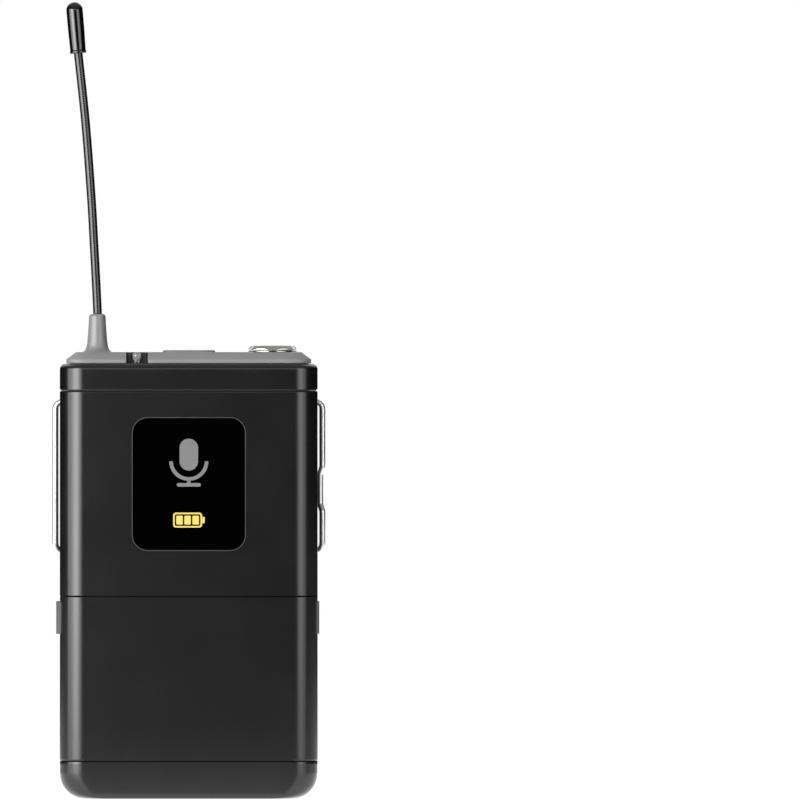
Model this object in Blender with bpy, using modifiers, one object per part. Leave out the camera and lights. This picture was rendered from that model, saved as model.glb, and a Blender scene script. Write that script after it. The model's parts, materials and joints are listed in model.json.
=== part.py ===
"""Wireless bodypack transmitter: a slim pocket case with a top panel, a flexible antenna, a wire belt clip
and a battery door at the lower front.

Frame: +Z up, -Y is the front face, +X is to the right seen from the front. The origin is the centre of the
case's bottom face. Every size below is in millimetres, and MM turns it into Blender's metres.
"""

import math

import bmesh
import bpy
from mathutils import Matrix, Vector

MM = 0.001
GAP = 0.3  # clearance between neighbouring solids

# ---- the case --------------------------------------------------------------------------------------------
CASE_W = 64.0
CASE_D = 23.0
CASE_TOP = 108.0
CORNER_R = 6.0  # vertical corners, seen from above
FOOT_R = 6.2  # lower corners, seen from the front
RIM_R = 2.0  # rounded edge round the top
WALL = 1.9
FRONT_Y = -CASE_D / 2
PARTING_Y = -1.0  # front and back shells meet here along the sides
SEAM_CAP = 9.25  # bottom cap to door
SEAM_DOOR = 50.3  # door to front cover
SEAM_COLLAR = 101.5  # front cover to collar
TONGUE_GAP = 0.15  # between an inner tongue and the wall that it overlaps
TONGUE_WALL = 0.8

# ---- battery door ----------------------------------------------------------------------------------------
HINGE_Y = FRONT_Y + 2.2
HINGE_Z = 10.4
BARREL_R = 2.2
PIN_R = 0.7
LUG_X = 22.0  # centre of each hinge lug
LUG_HALF = 1.3
LUG_R = 1.4
DOOR_REACH = SEAM_DOOR - 0.2 - HINGE_Z  # the door's upper edge is an arc about the hinge

# ---- top panel -------------------------------------------------------------------------------------------
PLATE_Z = 108.1
PLATE_BAND = 1.0
PLATE_TOP = 110.9
PLATE_HALF_X = 30.4
PLATE_HALF_Y = 10.0
PLATE_BEVEL = 2.3
SOCKET_X = 20.8
SOCKET_BORE_R = 4.25
SOCKET_R = 4.95
NUT_ACROSS = 11.8
LED_X = -12.8
ANTENNA_X = -22.75
ANTENNA_R = 1.1
ANTENNA_TOP = 198.0
TIP_LENGTH = 12.8
TIP_R = 2.05
ANTENNA_ROUTE = [(-22.7, 120.4), (-23.6, 138.2), (-24.3, 150.1), (-25.7, 168.2), (-27.5, 185.2), (-27.9, 190.0)]

# ---- battery bay -----------------------------------------------------------------------------------------
CELL_R = 7.25
CELL_LENGTH = 50.5
CELL_Y = 0.9
CELL_LOWER_Z = 18.8
CELL_UPPER_Z = 33.6
TRAY_X = 28.3
TRAY_LOW = 10.4
TRAY_HIGH = 42.0
TRAY_FRONT = -3.0
TRAY_BACK = 9.3
TRAY_WALL = 1.0

# ---- electronics -----------------------------------------------------------------------------------------
BOARD_FRONT = 5.6
BOARD_BACK = 7.0
BOARD_HALF_X = 21.5
GAIN_X = 9.0
GAIN_Z = 46.2

# ---- belt clip -------------------------------------------------------------------------------------------
WIRE_R = 0.75
CLIP_Y = 8.6  # the wire's side strands
CLIP_LEFT = -33.3
CLIP_RIGHT = 33.15
CLIP_PIVOT_Z = 98.6
CLIP_SHOULDER_Z = 61.6
TONGUE_Y = 17.6
TONGUE_HALF = 12.0
TONGUE_TIP_Z = 14.0

SCREWS = [(-24.5, 90.0), (24.5, 90.0), (-20.0, 13.0), (20.0, 13.0)]
BOARD_SCREWS = [-18.0, 18.0]
BOARD_SCREW_Z = 57.5


# ---- helpers ---------------------------------------------------------------------------------------------
def clear_scene():
    for obj in list(bpy.data.objects):
        bpy.data.objects.remove(obj, do_unlink=True)


def new_collection(name):
    collection = bpy.data.collections.new(name)
    bpy.context.scene.collection.children.link(collection)
    return collection


clear_scene()
PARTS = new_collection("bodypack_transmitter")
CUTTERS = new_collection("cutters")


def metres(*values):
    return Vector([v * MM for v in values])


def add_mesh(name, bm):
    """A new object in the parts collection from a bmesh whose faces point out."""
    bmesh.ops.recalc_face_normals(bm, faces=bm.faces)
    mesh = bpy.data.meshes.new(name)
    bm.to_mesh(mesh)
    bm.free()
    obj = bpy.data.objects.new(name, mesh)
    PARTS.objects.link(obj)
    return obj


def bevel_edges(bm, direction, radius, segments):
    """Round every edge that runs along one axis."""
    edges = []
    for edge in bm.edges:
        run = (edge.verts[1].co - edge.verts[0].co).normalized()
        if abs(run["XYZ".index(direction)]) > 0.99:
            edges.append(edge)
    bmesh.ops.bevel(bm, geom=edges, offset=radius * MM, segments=segments, profile=0.5, affect="EDGES")


def block(name, low, high, direction=None, radius=0.0, segments=4):
    """A box between two corners, with the edges along one axis rounded."""
    low = metres(*low)
    high = metres(*high)
    bm = bmesh.new()
    bmesh.ops.create_cube(bm, size=1.0)
    bmesh.ops.scale(bm, vec=high - low, verts=bm.verts)
    bmesh.ops.translate(bm, vec=(low + high) / 2, verts=bm.verts)
    if direction:
        bevel_edges(bm, direction, radius, segments)
    return add_mesh(name, bm)


def rod(name, start, end, radius, sides=20, end_radius=None):
    """A cylinder or cone between two points."""
    start = metres(*start)
    end = metres(*end)
    run = end - start
    bm = bmesh.new()
    far = radius if end_radius is None else end_radius
    bmesh.ops.create_cone(
        bm, cap_ends=True, segments=sides, radius1=radius * MM, radius2=far * MM, depth=run.length
    )
    turn = Vector((0, 0, 1)).rotation_difference(run.normalized()).to_matrix().to_4x4()
    bmesh.ops.transform(bm, matrix=Matrix.Translation((start + end) / 2) @ turn, verts=bm.verts)
    return add_mesh(name, bm)


def turned(name, profile, at, steps=28, lean=0.0):
    """A turned piece about +Z from (radius, height) points that run down its outer side."""
    mesh = bpy.data.meshes.new(name)
    points = [(r * MM, 0.0, z * MM) for r, z in profile]
    edges = [(i, i + 1) for i in range(len(points) - 1)]
    if profile[0][0] > 0:
        edges.append((len(points) - 1, 0))
    mesh.from_pydata(points, edges, [])
    obj = bpy.data.objects.new(name, mesh)
    PARTS.objects.link(obj)
    obj.location = metres(*at)
    obj.rotation_euler = (0.0, lean, 0.0)
    screw = obj.modifiers.new("turn", "SCREW")
    screw.axis = "Z"
    screw.angle = math.tau
    screw.steps = steps
    screw.render_steps = steps
    screw.use_merge_vertices = True
    screw.merge_threshold = 0.00001
    screw.use_smooth_shade = True
    return obj


def curve_to_mesh(curve_obj, name, matrix):
    """Turn a curve object into a welded mesh object, and remove the curve."""
    bpy.context.view_layer.update()
    depsgraph = bpy.context.evaluated_depsgraph_get()
    mesh = bpy.data.meshes.new_from_object(curve_obj.evaluated_get(depsgraph))
    bm = bmesh.new()
    bm.from_mesh(mesh)
    bmesh.ops.remove_doubles(bm, verts=bm.verts, dist=0.000001)
    bmesh.ops.transform(bm, matrix=matrix, verts=bm.verts)
    bpy.data.objects.remove(curve_obj, do_unlink=True)
    return add_mesh(name, bm)


def outline(name, points, low, high, axis):
    """A flat outline made as thick as low..high along one axis. Seen along X the points are (y, z), along Y
    they are (x, z), and along Z they are (x, y)."""
    curve = bpy.data.curves.new(name, "CURVE")
    curve.dimensions = "2D"
    curve.fill_mode = "BOTH"
    curve.extrude = (high - low) / 2 * MM
    spline = curve.splines.new("POLY")
    spline.points.add(len(points) - 1)
    for target, (a, b) in zip(spline.points, points):
        target.co = (a * MM, b * MM, 0.0, 1.0)
    spline.use_cyclic_u = True
    obj = bpy.data.objects.new(name, curve)
    PARTS.objects.link(obj)
    middle = (low + high) / 2 * MM
    turns = {
        "X": Matrix(((0, 0, 1, middle), (1, 0, 0, 0), (0, 1, 0, 0), (0, 0, 0, 1))),
        "Y": Matrix(((1, 0, 0, 0), (0, 0, -1, middle), (0, 1, 0, 0), (0, 0, 0, 1))),
        "Z": Matrix.Translation((0, 0, middle)),
    }
    return curve_to_mesh(obj, name, turns[axis])


def wire(name, points, radius, resolution=2):
    """A round wire through a list of points."""
    curve = bpy.data.curves.new(name, "CURVE")
    curve.dimensions = "3D"
    curve.bevel_depth = radius * MM
    curve.bevel_resolution = resolution
    curve.use_fill_caps = True
    spline = curve.splines.new("POLY")
    spline.points.add(len(points) - 1)
    for target, point in zip(spline.points, points):
        target.co = (*metres(*point), 1.0)
    obj = bpy.data.objects.new(name, curve)
    PARTS.objects.link(obj)
    return curve_to_mesh(obj, name, Matrix.Identity(4))


def combine(obj, other, operation):
    """Cut, join or intersect obj with another object, which becomes a guide."""
    modifier = obj.modifiers.new(operation.lower(), "BOOLEAN")
    modifier.operation = operation
    modifier.solver = "EXACT"
    modifier.object = other
    if other.name in PARTS.objects:
        PARTS.objects.unlink(other)
        CUTTERS.objects.link(other)
        other.hide_render = True
        other.display_type = "WIRE"


def cut(obj, *cutters):
    for cutter in cutters:
        combine(obj, cutter, "DIFFERENCE")


def join(obj, *others):
    for other in others:
        combine(obj, other, "UNION")


def finish(obj, colour, roughness, metallic=0.0, smooth=False):
    """Give a piece its own Principled material, and shade round pieces smooth."""
    material = bpy.data.materials.new(obj.name + "_finish")
    material.use_nodes = True
    shader = material.node_tree.nodes["Principled BSDF"]
    shader.inputs["Base Color"].default_value = (*colour, 1.0)
    shader.inputs["Roughness"].default_value = roughness
    shader.inputs["Metallic"].default_value = metallic
    obj.data.materials.append(material)
    if smooth:
        obj.data.shade_smooth()
        obj.data.set_sharp_from_angle(angle=math.radians(35))
    return obj


def pivot(name, at, *pieces):
    """An empty on a joint's axis that carries the pieces that move there."""
    empty = bpy.data.objects.new(name, None)
    empty.location = metres(*at)
    empty.empty_display_size = 4 * MM
    PARTS.objects.link(empty)
    bpy.context.view_layer.update()
    for piece in pieces:
        piece.parent = empty
        piece.matrix_parent_inverse = empty.matrix_world.inverted()
    return empty


def arc(centre, radius, start, end, count):
    """Points on an arc, with angles in degrees."""
    points = []
    for i in range(count + 1):
        angle = math.radians(start + (end - start) * i / count)
        points.append((centre[0] + radius * math.cos(angle), centre[1] + radius * math.sin(angle)))
    return points


def rounded_outline(low, high, low_r, high_r, steps=6):
    """A rectangle with one radius on its two lower corners and one on its two upper corners."""
    (x0, z0), (x1, z1) = low, high
    points = arc((x1 - low_r, z0 + low_r), low_r, -90, 0, steps)
    points += arc((x1 - high_r, z1 - high_r), high_r, 0, 90, steps)
    points += arc((x0 + high_r, z1 - high_r), high_r, 90, 180, steps)
    points += arc((x0 + low_r, z0 + low_r), low_r, 180, 270, steps)
    return points


BLACK_PLASTIC = (0.018, 0.018, 0.019)
GREY_PLASTIC = (0.26, 0.26, 0.26)
NICKEL = (0.66, 0.66, 0.64)


# ---- the case's outer and inner forms, which trim every shell ----------------------------------------------
def case_form(name, inset, top):
    """The case's outside, or its hollow when inset: the plan, front and side outlines intersected."""
    half_x = CASE_W / 2 - inset
    half_y = CASE_D / 2 - inset
    plan_r = CORNER_R - inset
    plan = rounded_outline((-half_x, -half_y), (half_x, half_y), plan_r, plan_r)
    form = outline(name, plan, inset - 1, top + 1, "Z")
    rim = RIM_R if inset == 0 else 0.4
    front = rounded_outline((-half_x, inset), (half_x, top), FOOT_R - inset, rim)
    side = rounded_outline((-half_y, inset), (half_y, top), 1.0, rim, 3)
    combine(form, outline(name + "_front", front, -20, 20, "Y"), "INTERSECT")
    combine(form, outline(name + "_side", side, -40, 40, "X"), "INTERSECT")
    return form


OUTER = case_form("case_outside", 0.0, CASE_TOP)
HOLLOW = case_form("case_hollow", WALL, CASE_TOP + 6)


def shell(name, section):
    """A shell: a side-view section, trimmed to the case's outside and hollowed."""
    piece = outline(name, section, -40, 40, "X")
    combine(piece, OUTER, "INTERSECT")
    combine(piece, HOLLOW, "DIFFERENCE")
    return piece


def hinge_rod(name, radius, half_x, centre_x=0.0, sides=32):
    """A cylinder on the door's hinge axis."""
    low = (centre_x - half_x, HINGE_Y, HINGE_Z)
    high = (centre_x + half_x, HINGE_Y, HINGE_Z)
    return rod(name, low, high, radius, sides)


def rectangle(low, high):
    return [low, (high[0], low[1]), high, (low[0], high[1])]


def make_bottom_cap():
    cap = shell("bottom_cap", rectangle((-20, -1), (20, SEAM_CAP - 0.1)))
    for side in (-1, 1):
        centre = side * LUG_X
        low_x = centre - LUG_HALF
        high_x = centre + LUG_HALF
        lug = hinge_rod(f"lug_eye_{side}", LUG_R, LUG_HALF, centre, 20)
        arm = block(f"lug_arm_{side}", (low_x, HINGE_Y, 9.7), (high_x, -5.9, 10.9))
        post = block(f"lug_post_{side}", (low_x, -7.1, 1.2), (high_x, -5.9, 10.9))
        join(arm, post)
        join(lug, arm)
        join(cap, lug)
        cut(cap, hinge_rod(f"lug_bore_{side}", PIN_R + 0.15, 3.0, centre, 20))
    trough = hinge_rod("cap_trough", BARREL_R + GAP, 40, 0.0, 40)
    # the trough stops short of each lug
    for side in (-1, 1):
        centre = side * LUG_X
        keep = block(
            f"trough_gap_{side}", (centre - LUG_HALF - 0.01, -9.31, 5), (centre + LUG_HALF + 0.01, 0, 14)
        )
        cut(trough, keep, hinge_rod(f"trough_eye_{side}", LUG_R + 0.01, LUG_HALF + 0.01, centre, 20))
    cut(cap, trough)
    add_cap_tongue(cap)
    return finish(cap, BLACK_PLASTIC, 0.42)


def inner_ring(name, low_z, high_z, inset):
    """A thin ring inside the case wall, its outside a given distance in from the case's outside."""
    inner = WALL + TONGUE_GAP + TONGUE_WALL
    half_d = CASE_D / 2
    half_w = CASE_W / 2
    ring = block(
        name, (inset - half_w, inset - half_d, low_z), (half_w - inset, half_d - inset, high_z),
        "Z", CORNER_R - inset, 6,
    )
    hole = block(
        name + "_hole", (inner - half_w, inner - half_d, low_z - 1), (half_w - inner, half_d - inner, high_z + 1),
        "Z", CORNER_R - inner, 6,
    )
    cut(ring, hole)
    return ring


def add_cap_tongue(cap):
    """A tongue behind the rear cover's lower edge, and a rib at each side that closes the seam beside the door."""
    tongue = inner_ring("cap_tongue", SEAM_CAP - 1.4, SEAM_CAP + 0.8, WALL + TONGUE_GAP)
    join(tongue, inner_ring("cap_step", SEAM_CAP - 1.4, SEAM_CAP - 0.2, WALL - 0.3))
    cut(tongue, block("tongue_front", (-40, -20, 0), (40, PARTING_Y + 0.3, 20)))
    for side in (-1, 1):
        join(tongue, side_block(f"cap_rib_{side}", side, (26.6, -5.4, 1.6), (27.8, 9.0, SEAM_CAP + 0.8)))
    join(cap, tongue)


def make_front_cover():
    cover = shell("front_cover", rectangle((-20, SEAM_DOOR + 0.15), (PARTING_Y - 0.15, SEAM_COLLAR - 0.15)))
    window = rounded_outline((-14.2, 61.4), (14.4, 94.9), 4.1, 4.1)
    cut(cover, outline("window_pocket", window, -13, -10.7, "Y"))
    for i, (x, z) in enumerate(SCREWS[:2]):
        join(cover, rod(f"screw_post_{i}", (x, -10.2, z), (x, 9.2, z), 2.4))
        cut(cover, rod(f"screw_pilot_{i}", (x, 1, z), (x, 12, z), 1.05, 16))
    for i, x in enumerate(BOARD_SCREWS):
        join(cover, rod(f"board_post_{i}", (x, -10.2, BOARD_SCREW_Z), (x, 5.3, BOARD_SCREW_Z), 2.2))
        cut(cover, rod(f"board_pilot_{i}", (x, 0, BOARD_SCREW_Z), (x, 8, BOARD_SCREW_Z), 0.95, 16))
    return finish(cover, BLACK_PLASTIC, 0.42)


def make_rear_cover():
    cover = shell("rear_cover", rectangle((PARTING_Y + 0.15, SEAM_CAP + 0.15), (20, SEAM_COLLAR - 0.15)))
    for i, (x, z) in enumerate(SCREWS):
        cut(cover, rod(f"head_sink_{i}", (x, 10.3, z), (x, 13, z), 2.4))
        cut(cover, rod(f"shank_hole_{i}", (x, 8, z), (x, 12, z), 1.2, 16))
    cut(cover, block("label_pocket", (-17, 11.2, 64), (17, 13, 84), "Y", 1.0))
    for side in (-1, 1):
        cut(cover, rod(f"clip_hole_{side}", (side * 26, CLIP_Y, CLIP_PIVOT_Z), (side * 36, CLIP_Y, CLIP_PIVOT_Z), 1.1))
    return finish(cover, BLACK_PLASTIC, 0.42)


def make_top_collar():
    """The top ring, with an inner tongue that overlaps the covers so that no light passes the seam."""
    collar = shell("top_collar", rectangle((-20, SEAM_COLLAR + 0.15), (20, CASE_TOP + 1)))
    root_z = SEAM_COLLAR + 0.3
    top_z = SEAM_COLLAR + 1.5
    join(collar, inner_ring("collar_step", root_z, top_z, WALL - 0.3))
    join(collar, inner_ring("collar_tongue", SEAM_COLLAR - 1.5, top_z, WALL + TONGUE_GAP))
    return finish(collar, BLACK_PLASTIC, 0.42)


def door_section():
    """The door from the side: a rounded foot about the hinge, and an arc about the hinge at its upper edge."""
    back = PARTING_Y - 0.15
    low = SEAM_CAP + 0.15
    points = arc((HINGE_Y, HINGE_Z), BARREL_R, 180, 270, 8)
    points += [(HINGE_Y + 0.1, low), (back, low)]
    start = math.degrees(math.acos((back - HINGE_Y) / DOOR_REACH))
    end = math.degrees(math.acos((FRONT_Y - 1 - HINGE_Y) / DOOR_REACH))
    points += arc((HINGE_Y, HINGE_Z), DOOR_REACH, start, end, 8)
    points.append((FRONT_Y - 1, HINGE_Z))
    return points


def make_battery_door():
    door = shell("battery_door", door_section())
    join(door, hinge_rod("door_barrel", BARREL_R, 25.5, 0.0, 32))
    for side in (-1, 1):
        centre = side * LUG_X
        low_x = centre - LUG_HALF - GAP
        high_x = centre + LUG_HALF + GAP
        cut(
            door,
            hinge_rod(f"lug_room_{side}", LUG_R + GAP, LUG_HALF + GAP, centre, 24),
            block(f"lug_back_{side}", (low_x, HINGE_Y, 7.5), (high_x, -4, 12.6)),
            block(f"lug_under_{side}", (low_x, -12, 7.5), (high_x, -4, 9.05)),
            hinge_rod(f"pin_bore_{side}", PIN_R + 0.15, 3.4, centre, 20),
            side_block(f"tab_slot_{side}", side, (25, -7.3, 40.6), (36, -2.3, 49.35)),
        )
    return finish(door, BLACK_PLASTIC, 0.42)


def side_block(name, side, low, high, **rounding):
    """A block given for the right side, mirrored when side is -1."""
    x0, x1 = sorted((side * low[0], side * high[0]))
    return block(name, (x0, low[1], low[2]), (x1, high[1], high[2]), **rounding)


def make_hinge_pin(name, side):
    pin = hinge_rod(name, PIN_R, 3.0, side * LUG_X, 20)
    return finish(pin, NICKEL, 0.3, 1.0, smooth=True)


def make_release_tab(name, side):
    """A push tab: the outer key, a wider flange behind the door's side, and the latch nose above it."""
    reach = 32.9 if side < 0 else 32.45
    tab = side_block(name, side, (29.4, -7.0, 40.9), (reach, -2.6, 49.05), direction="X", radius=0.5)
    join(tab, side_block(name + "_flange", side, (28.3, -6.9, 42.4), (29.6, -1.8, 49.7)))
    return finish(tab, (0.105, 0.105, 0.105), 0.5)


def make_door_pad():
    pad = block("door_pad", (-19, -9.3, 16), (19, -6.75, 37), "Y", 1.5)
    return finish(pad, (0.03, 0.03, 0.032), 0.95)


def make_window():
    shape = rounded_outline((-14.1, 61.5), (14.3, 94.8), 4.0, 4.0)
    return finish(outline("window", shape, -11.45, -10.85, "Y"), (0.002, 0.002, 0.002), 0.08)


# ---- top panel and what it carries ---------------------------------------------------------------------------
def make_top_plate():
    bm = bmesh.new()
    bmesh.ops.create_cube(bm, size=1.0)
    size = metres(PLATE_HALF_X * 2, PLATE_HALF_Y * 2, PLATE_BAND)
    bmesh.ops.scale(bm, vec=size, verts=bm.verts)
    bmesh.ops.translate(bm, vec=metres(0, 0, PLATE_Z + PLATE_BAND / 2), verts=bm.verts)
    bevel_edges(bm, "Z", 4.5, 5)
    top = max(bm.faces, key=lambda face: face.calc_center_median().z)
    raised = bmesh.ops.extrude_face_region(bm, geom=[top])
    corners = [item for item in raised["geom"] if isinstance(item, bmesh.types.BMVert)]
    bmesh.ops.delete(bm, geom=[top], context="FACES_ONLY")
    shrink = ((PLATE_HALF_X - PLATE_BEVEL) / PLATE_HALF_X, (PLATE_HALF_Y - PLATE_BEVEL) / PLATE_HALF_Y, 1.0)
    bmesh.ops.scale(bm, vec=shrink, verts=corners)
    bmesh.ops.translate(bm, vec=metres(0, 0, PLATE_TOP - PLATE_Z - PLATE_BAND), verts=corners)
    plate = add_mesh("top_plate", bm)
    skirt = block("plate_skirt", (-29.6, -9.1, 105.5), (29.6, 9.1, PLATE_Z + 0.5), "Z", 3.2)
    cut(skirt, block("skirt_hollow", (-28.2, -7.7, 104), (28.2, 7.7, PLATE_Z), "Z", 2.0))
    join(plate, skirt)
    join(plate, block("switch_plinth", (-6.5, -3.3, 110), (6.6, 3.3, 111.4), "Z", 3.2))
    cut(
        plate,
        block("switch_recess", (-5.0, -1.85, 109.6), (5.0, 1.85, 113), "Z", 1.0),
        block("switch_slot", (-3.3, -0.8, 104), (3.3, 0.8, 112)),
        rod("socket_hole", (SOCKET_X, 0, 100), (SOCKET_X, 0, 115), SOCKET_R + 0.15, 32),
        rod("antenna_hole", (ANTENNA_X, 0, 100), (ANTENNA_X, 0, 115), 2.6, 24),
        block("led_notch", (LED_X - 2.7, -12, 104), (LED_X + 2.7, -6.3, 113)),
    )
    return finish(plate, GREY_PLASTIC, 0.5)


def make_switch_body():
    body = block("switch_body", (-5.5, -2.6, 101.8), (5.5, 5.3, 106.8))
    cut(body, block("switch_body_slot", (-3.2, -0.9, 105.2), (3.2, 0.9, 108)))
    return finish(body, (0.3, 0.3, 0.31), 0.35, 1.0)


def make_switch_knob():
    knob = block("switch_knob", (-2.5, -1.5, 109.9), (2.5, 1.5, 111.3), "Z", 0.6)
    join(knob, block("switch_stem", (-0.9, -0.5, 105.9), (0.9, 0.5, 110.2)))
    return finish(knob, (0.02, 0.02, 0.02), 0.45)


def make_led_holder():
    holder = block("led_holder", (LED_X - 2.5, -9.2, 104.6), (LED_X + 2.5, -6.6, 108.2))
    join(holder, block("led_back", (LED_X - 2.5, -7.4, 108.0), (LED_X + 2.5, -6.6, 110.8)))
    return finish(holder, (0.008, 0.008, 0.008), 0.6)


def make_led_lens():
    profile = [(0, 110.8), (0.75, 110.7), (1.1, 110.2), (1.15, 109.7), (0.8, 109.0), (0.6, 108.5), (0, 108.5)]
    return finish(turned("led_lens", profile, (LED_X, -8.75, 0), 16), (0.8, 0.82, 0.82), 0.08, smooth=True)


def make_socket():
    ring = [
        (SOCKET_R, 112.4), (SOCKET_R, 107.8), (6.3, 107.8), (6.3, 105.2), (SOCKET_R, 105.2),
        (SOCKET_R, 96.8), (SOCKET_BORE_R, 96.8), (SOCKET_BORE_R, 112.4),
    ]
    finish(turned("socket_shell", ring, (SOCKET_X, 0, 0), 32), NICKEL, 0.25, 1.0, smooth=True)
    insert = rod("socket_insert", (SOCKET_X, 0, 97.2), (SOCKET_X, 0, 101.0), SOCKET_BORE_R - 0.15, 32)
    for i in range(3):
        angle = math.radians(90 + 120 * i)
        x = SOCKET_X + 2.0 * math.cos(angle)
        y = 2.0 * math.sin(angle)
        cut(insert, rod(f"pin_hole_{i}", (x, y, 95), (x, y, 103), 0.62, 12))
        pin = rod(f"socket_pin_{i + 1}", (x, y, 94.4), (x, y, 107.0), 0.5, 12)
        finish(pin, (0.78, 0.6, 0.28), 0.25, 1.0, smooth=True)
    finish(insert, (0.012, 0.012, 0.012), 0.5)
    washer = [(6.7, 111.2), (6.7, 110.98), (SOCKET_R + 0.15, 110.98), (SOCKET_R + 0.15, 111.2)]
    finish(turned("socket_washer", washer, (SOCKET_X, 0, 0), 32), NICKEL, 0.3, 1.0, smooth=True)
    make_socket_nut()


def make_socket_nut():
    """A hexagonal nut with its upper corners turned off at 30 degrees."""
    nut = rod("socket_nut", (SOCKET_X, 0, 111.3), (SOCKET_X, 0, 112.5), NUT_ACROSS / math.sqrt(3), 6)
    cone = rod("nut_chamfer", (SOCKET_X, 0, 111.0), (SOCKET_X, 0, 112.9), 7.6, 40, 5.3)
    combine(nut, cone, "INTERSECT")
    cut(nut, rod("nut_bore", (SOCKET_X, 0, 110), (SOCKET_X, 0, 114), SOCKET_R + 0.12, 32))
    return finish(nut, NICKEL, 0.22, 1.0)


def make_antenna():
    boot = [
        (2.05, 120.4), (2.15, 118.0), (2.5, 113.6), (2.75, 112.2), (3.6, 111.05),
        (1.3, 111.05), (1.3, 120.4),
    ]
    finish(turned("antenna_boot", boot, (ANTENNA_X, 0, 0), 24), (0.4, 0.4, 0.4), 0.5, smooth=True)
    route = [(ANTENNA_X, 0, 105.6), (ANTENNA_X, 0, 113.0)]
    route += [(x, 0, z) for x, z in ANTENNA_ROUTE]
    finish(wire("antenna_whip", route, ANTENNA_R), (0.045, 0.045, 0.045), 0.4, smooth=True)
    lean = math.atan2(-28.6 + 27.5, TIP_LENGTH)
    tip = [(0, 12.8)]
    tip += arc((0, TIP_LENGTH - TIP_R), TIP_R, 75, 0, 5)
    tip += [(1.93, 1.0), (2.0, 0.6), (2.0, 0.0), (1.4, 0.0), (1.4, 6.5), (0, 6.5)]
    cap = turned("antenna_tip", tip, (-27.5, 0, ANTENNA_TOP - TIP_LENGTH), 24, lean)
    finish(cap, (0.008, 0.008, 0.008), 0.12, smooth=True)
    ferrule = rod("antenna_ferrule", (ANTENNA_X, 0, 102.2), (ANTENNA_X, 0, 110.6), 2.4, 24)
    cut(ferrule, rod("ferrule_bore", (ANTENNA_X, 0, 105.2), (ANTENNA_X, 0, 112), ANTENNA_R + 0.2, 20))
    finish(ferrule, (0.7, 0.52, 0.25), 0.3, 1.0)
    contact = block("antenna_contact", (-22.9, -1.2, 101.3), (-20.9, 5.3, 101.8))
    join(contact, block("contact_foot", (-22.9, 4.8, 97.0), (-20.9, 5.3, 101.6)))
    finish(contact, (0.75, 0.55, 0.25), 0.3, 1.0)


# ---- battery bay ---------------------------------------------------------------------------------------------
def make_battery_tray():
    tray = block("battery_tray", (-TRAY_X, TRAY_FRONT, TRAY_LOW), (TRAY_X, TRAY_BACK, TRAY_HIGH), "Z", 2.4)
    inner_low = (-TRAY_X + TRAY_WALL, TRAY_FRONT - 5, TRAY_LOW + TRAY_WALL)
    inner_high = (TRAY_X - TRAY_WALL, TRAY_BACK - 0.9, TRAY_HIGH - TRAY_WALL)
    cut(tray, block("tray_hollow", inner_low, inner_high))
    for i, (x, z) in enumerate(SCREWS[2:]):
        join(tray, block(f"tray_boss_{i}", (x - 2, 7.2, 11.0), (x + 2, 9.0, 14.3)))
        cut(tray, rod(f"tray_pilot_{i}", (x, 5, z), (x, 10, z), 1.05, 16))
    return finish(tray, (0.02, 0.02, 0.021), 0.55)


def make_cell(name, z, nub_side):
    """One AA cell lying across the case, its positive nub at nub_side."""
    half = CELL_LENGTH / 2
    can = rod(name, (-nub_side * half, CELL_Y, z), (nub_side * (half - 1.2), CELL_Y, z), CELL_R, 40)
    nub = rod(name + "_nub", (nub_side * (half - 3), CELL_Y, z), (nub_side * half, CELL_Y, z), 2.75, 20)
    join(can, nub)
    return finish(can, (0.05, 0.16, 0.3), 0.3, 0.3, smooth=True)


def make_contact_plate(name, side, low_z, high_z):
    plate = side_block(name, side, (26.85, -2.4, low_z), (27.1, 4.2, high_z))
    return finish(plate, NICKEL, 0.3, 1.0)


def make_contact_spring(name, side, z):
    """A conical coil that bears on the cell's flat end."""
    turns = 2.5
    count = 30
    points = []
    for i in range(count + 1):
        share = i / count
        angle = math.tau * turns * share
        radius = 3.4 - 1.2 * share
        x = side * (26.6 - 1.0 * share)
        points.append((x, CELL_Y + radius * math.cos(angle), z + radius * math.sin(angle)))
    return finish(wire(name, points, 0.18), NICKEL, 0.3, 1.0, smooth=True)


# ---- electronics ---------------------------------------------------------------------------------------------
def make_main_board():
    board = block("main_board", (-BOARD_HALF_X, BOARD_FRONT, 53), (BOARD_HALF_X, BOARD_BACK, 103))
    for i, x in enumerate(BOARD_SCREWS):
        cut(board, rod(f"board_hole_{i}", (x, 4, BOARD_SCREW_Z), (x, 9, BOARD_SCREW_Z), 1.2, 16))
    return finish(board, (0.02, 0.14, 0.06), 0.35)


def make_shield_can():
    can = block("shield_can", (-19, 1.6, 66), (3, 5.3, 94), "Y", 0.8)
    cut(can, block("can_hollow", (-18.6, 2.0, 66.4), (2.6, 6, 93.6)))
    return finish(can, (0.6, 0.6, 0.58), 0.3, 1.0)


def make_small_parts():
    finish(block("audio_chip", (8, 4.1, 74), (15, 5.3, 81)), (0.01, 0.01, 0.01), 0.5)
    finish(block("crystal", (6, 2.9, 86), (11, 5.3, 89)), (0.6, 0.6, 0.6), 0.3, 1.0)
    finish(rod("capacitor", (17, -1.5, 67), (17, 5.3, 67), 2.5, 20), (0.5, 0.5, 0.52), 0.3, 0.8, smooth=True)


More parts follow.
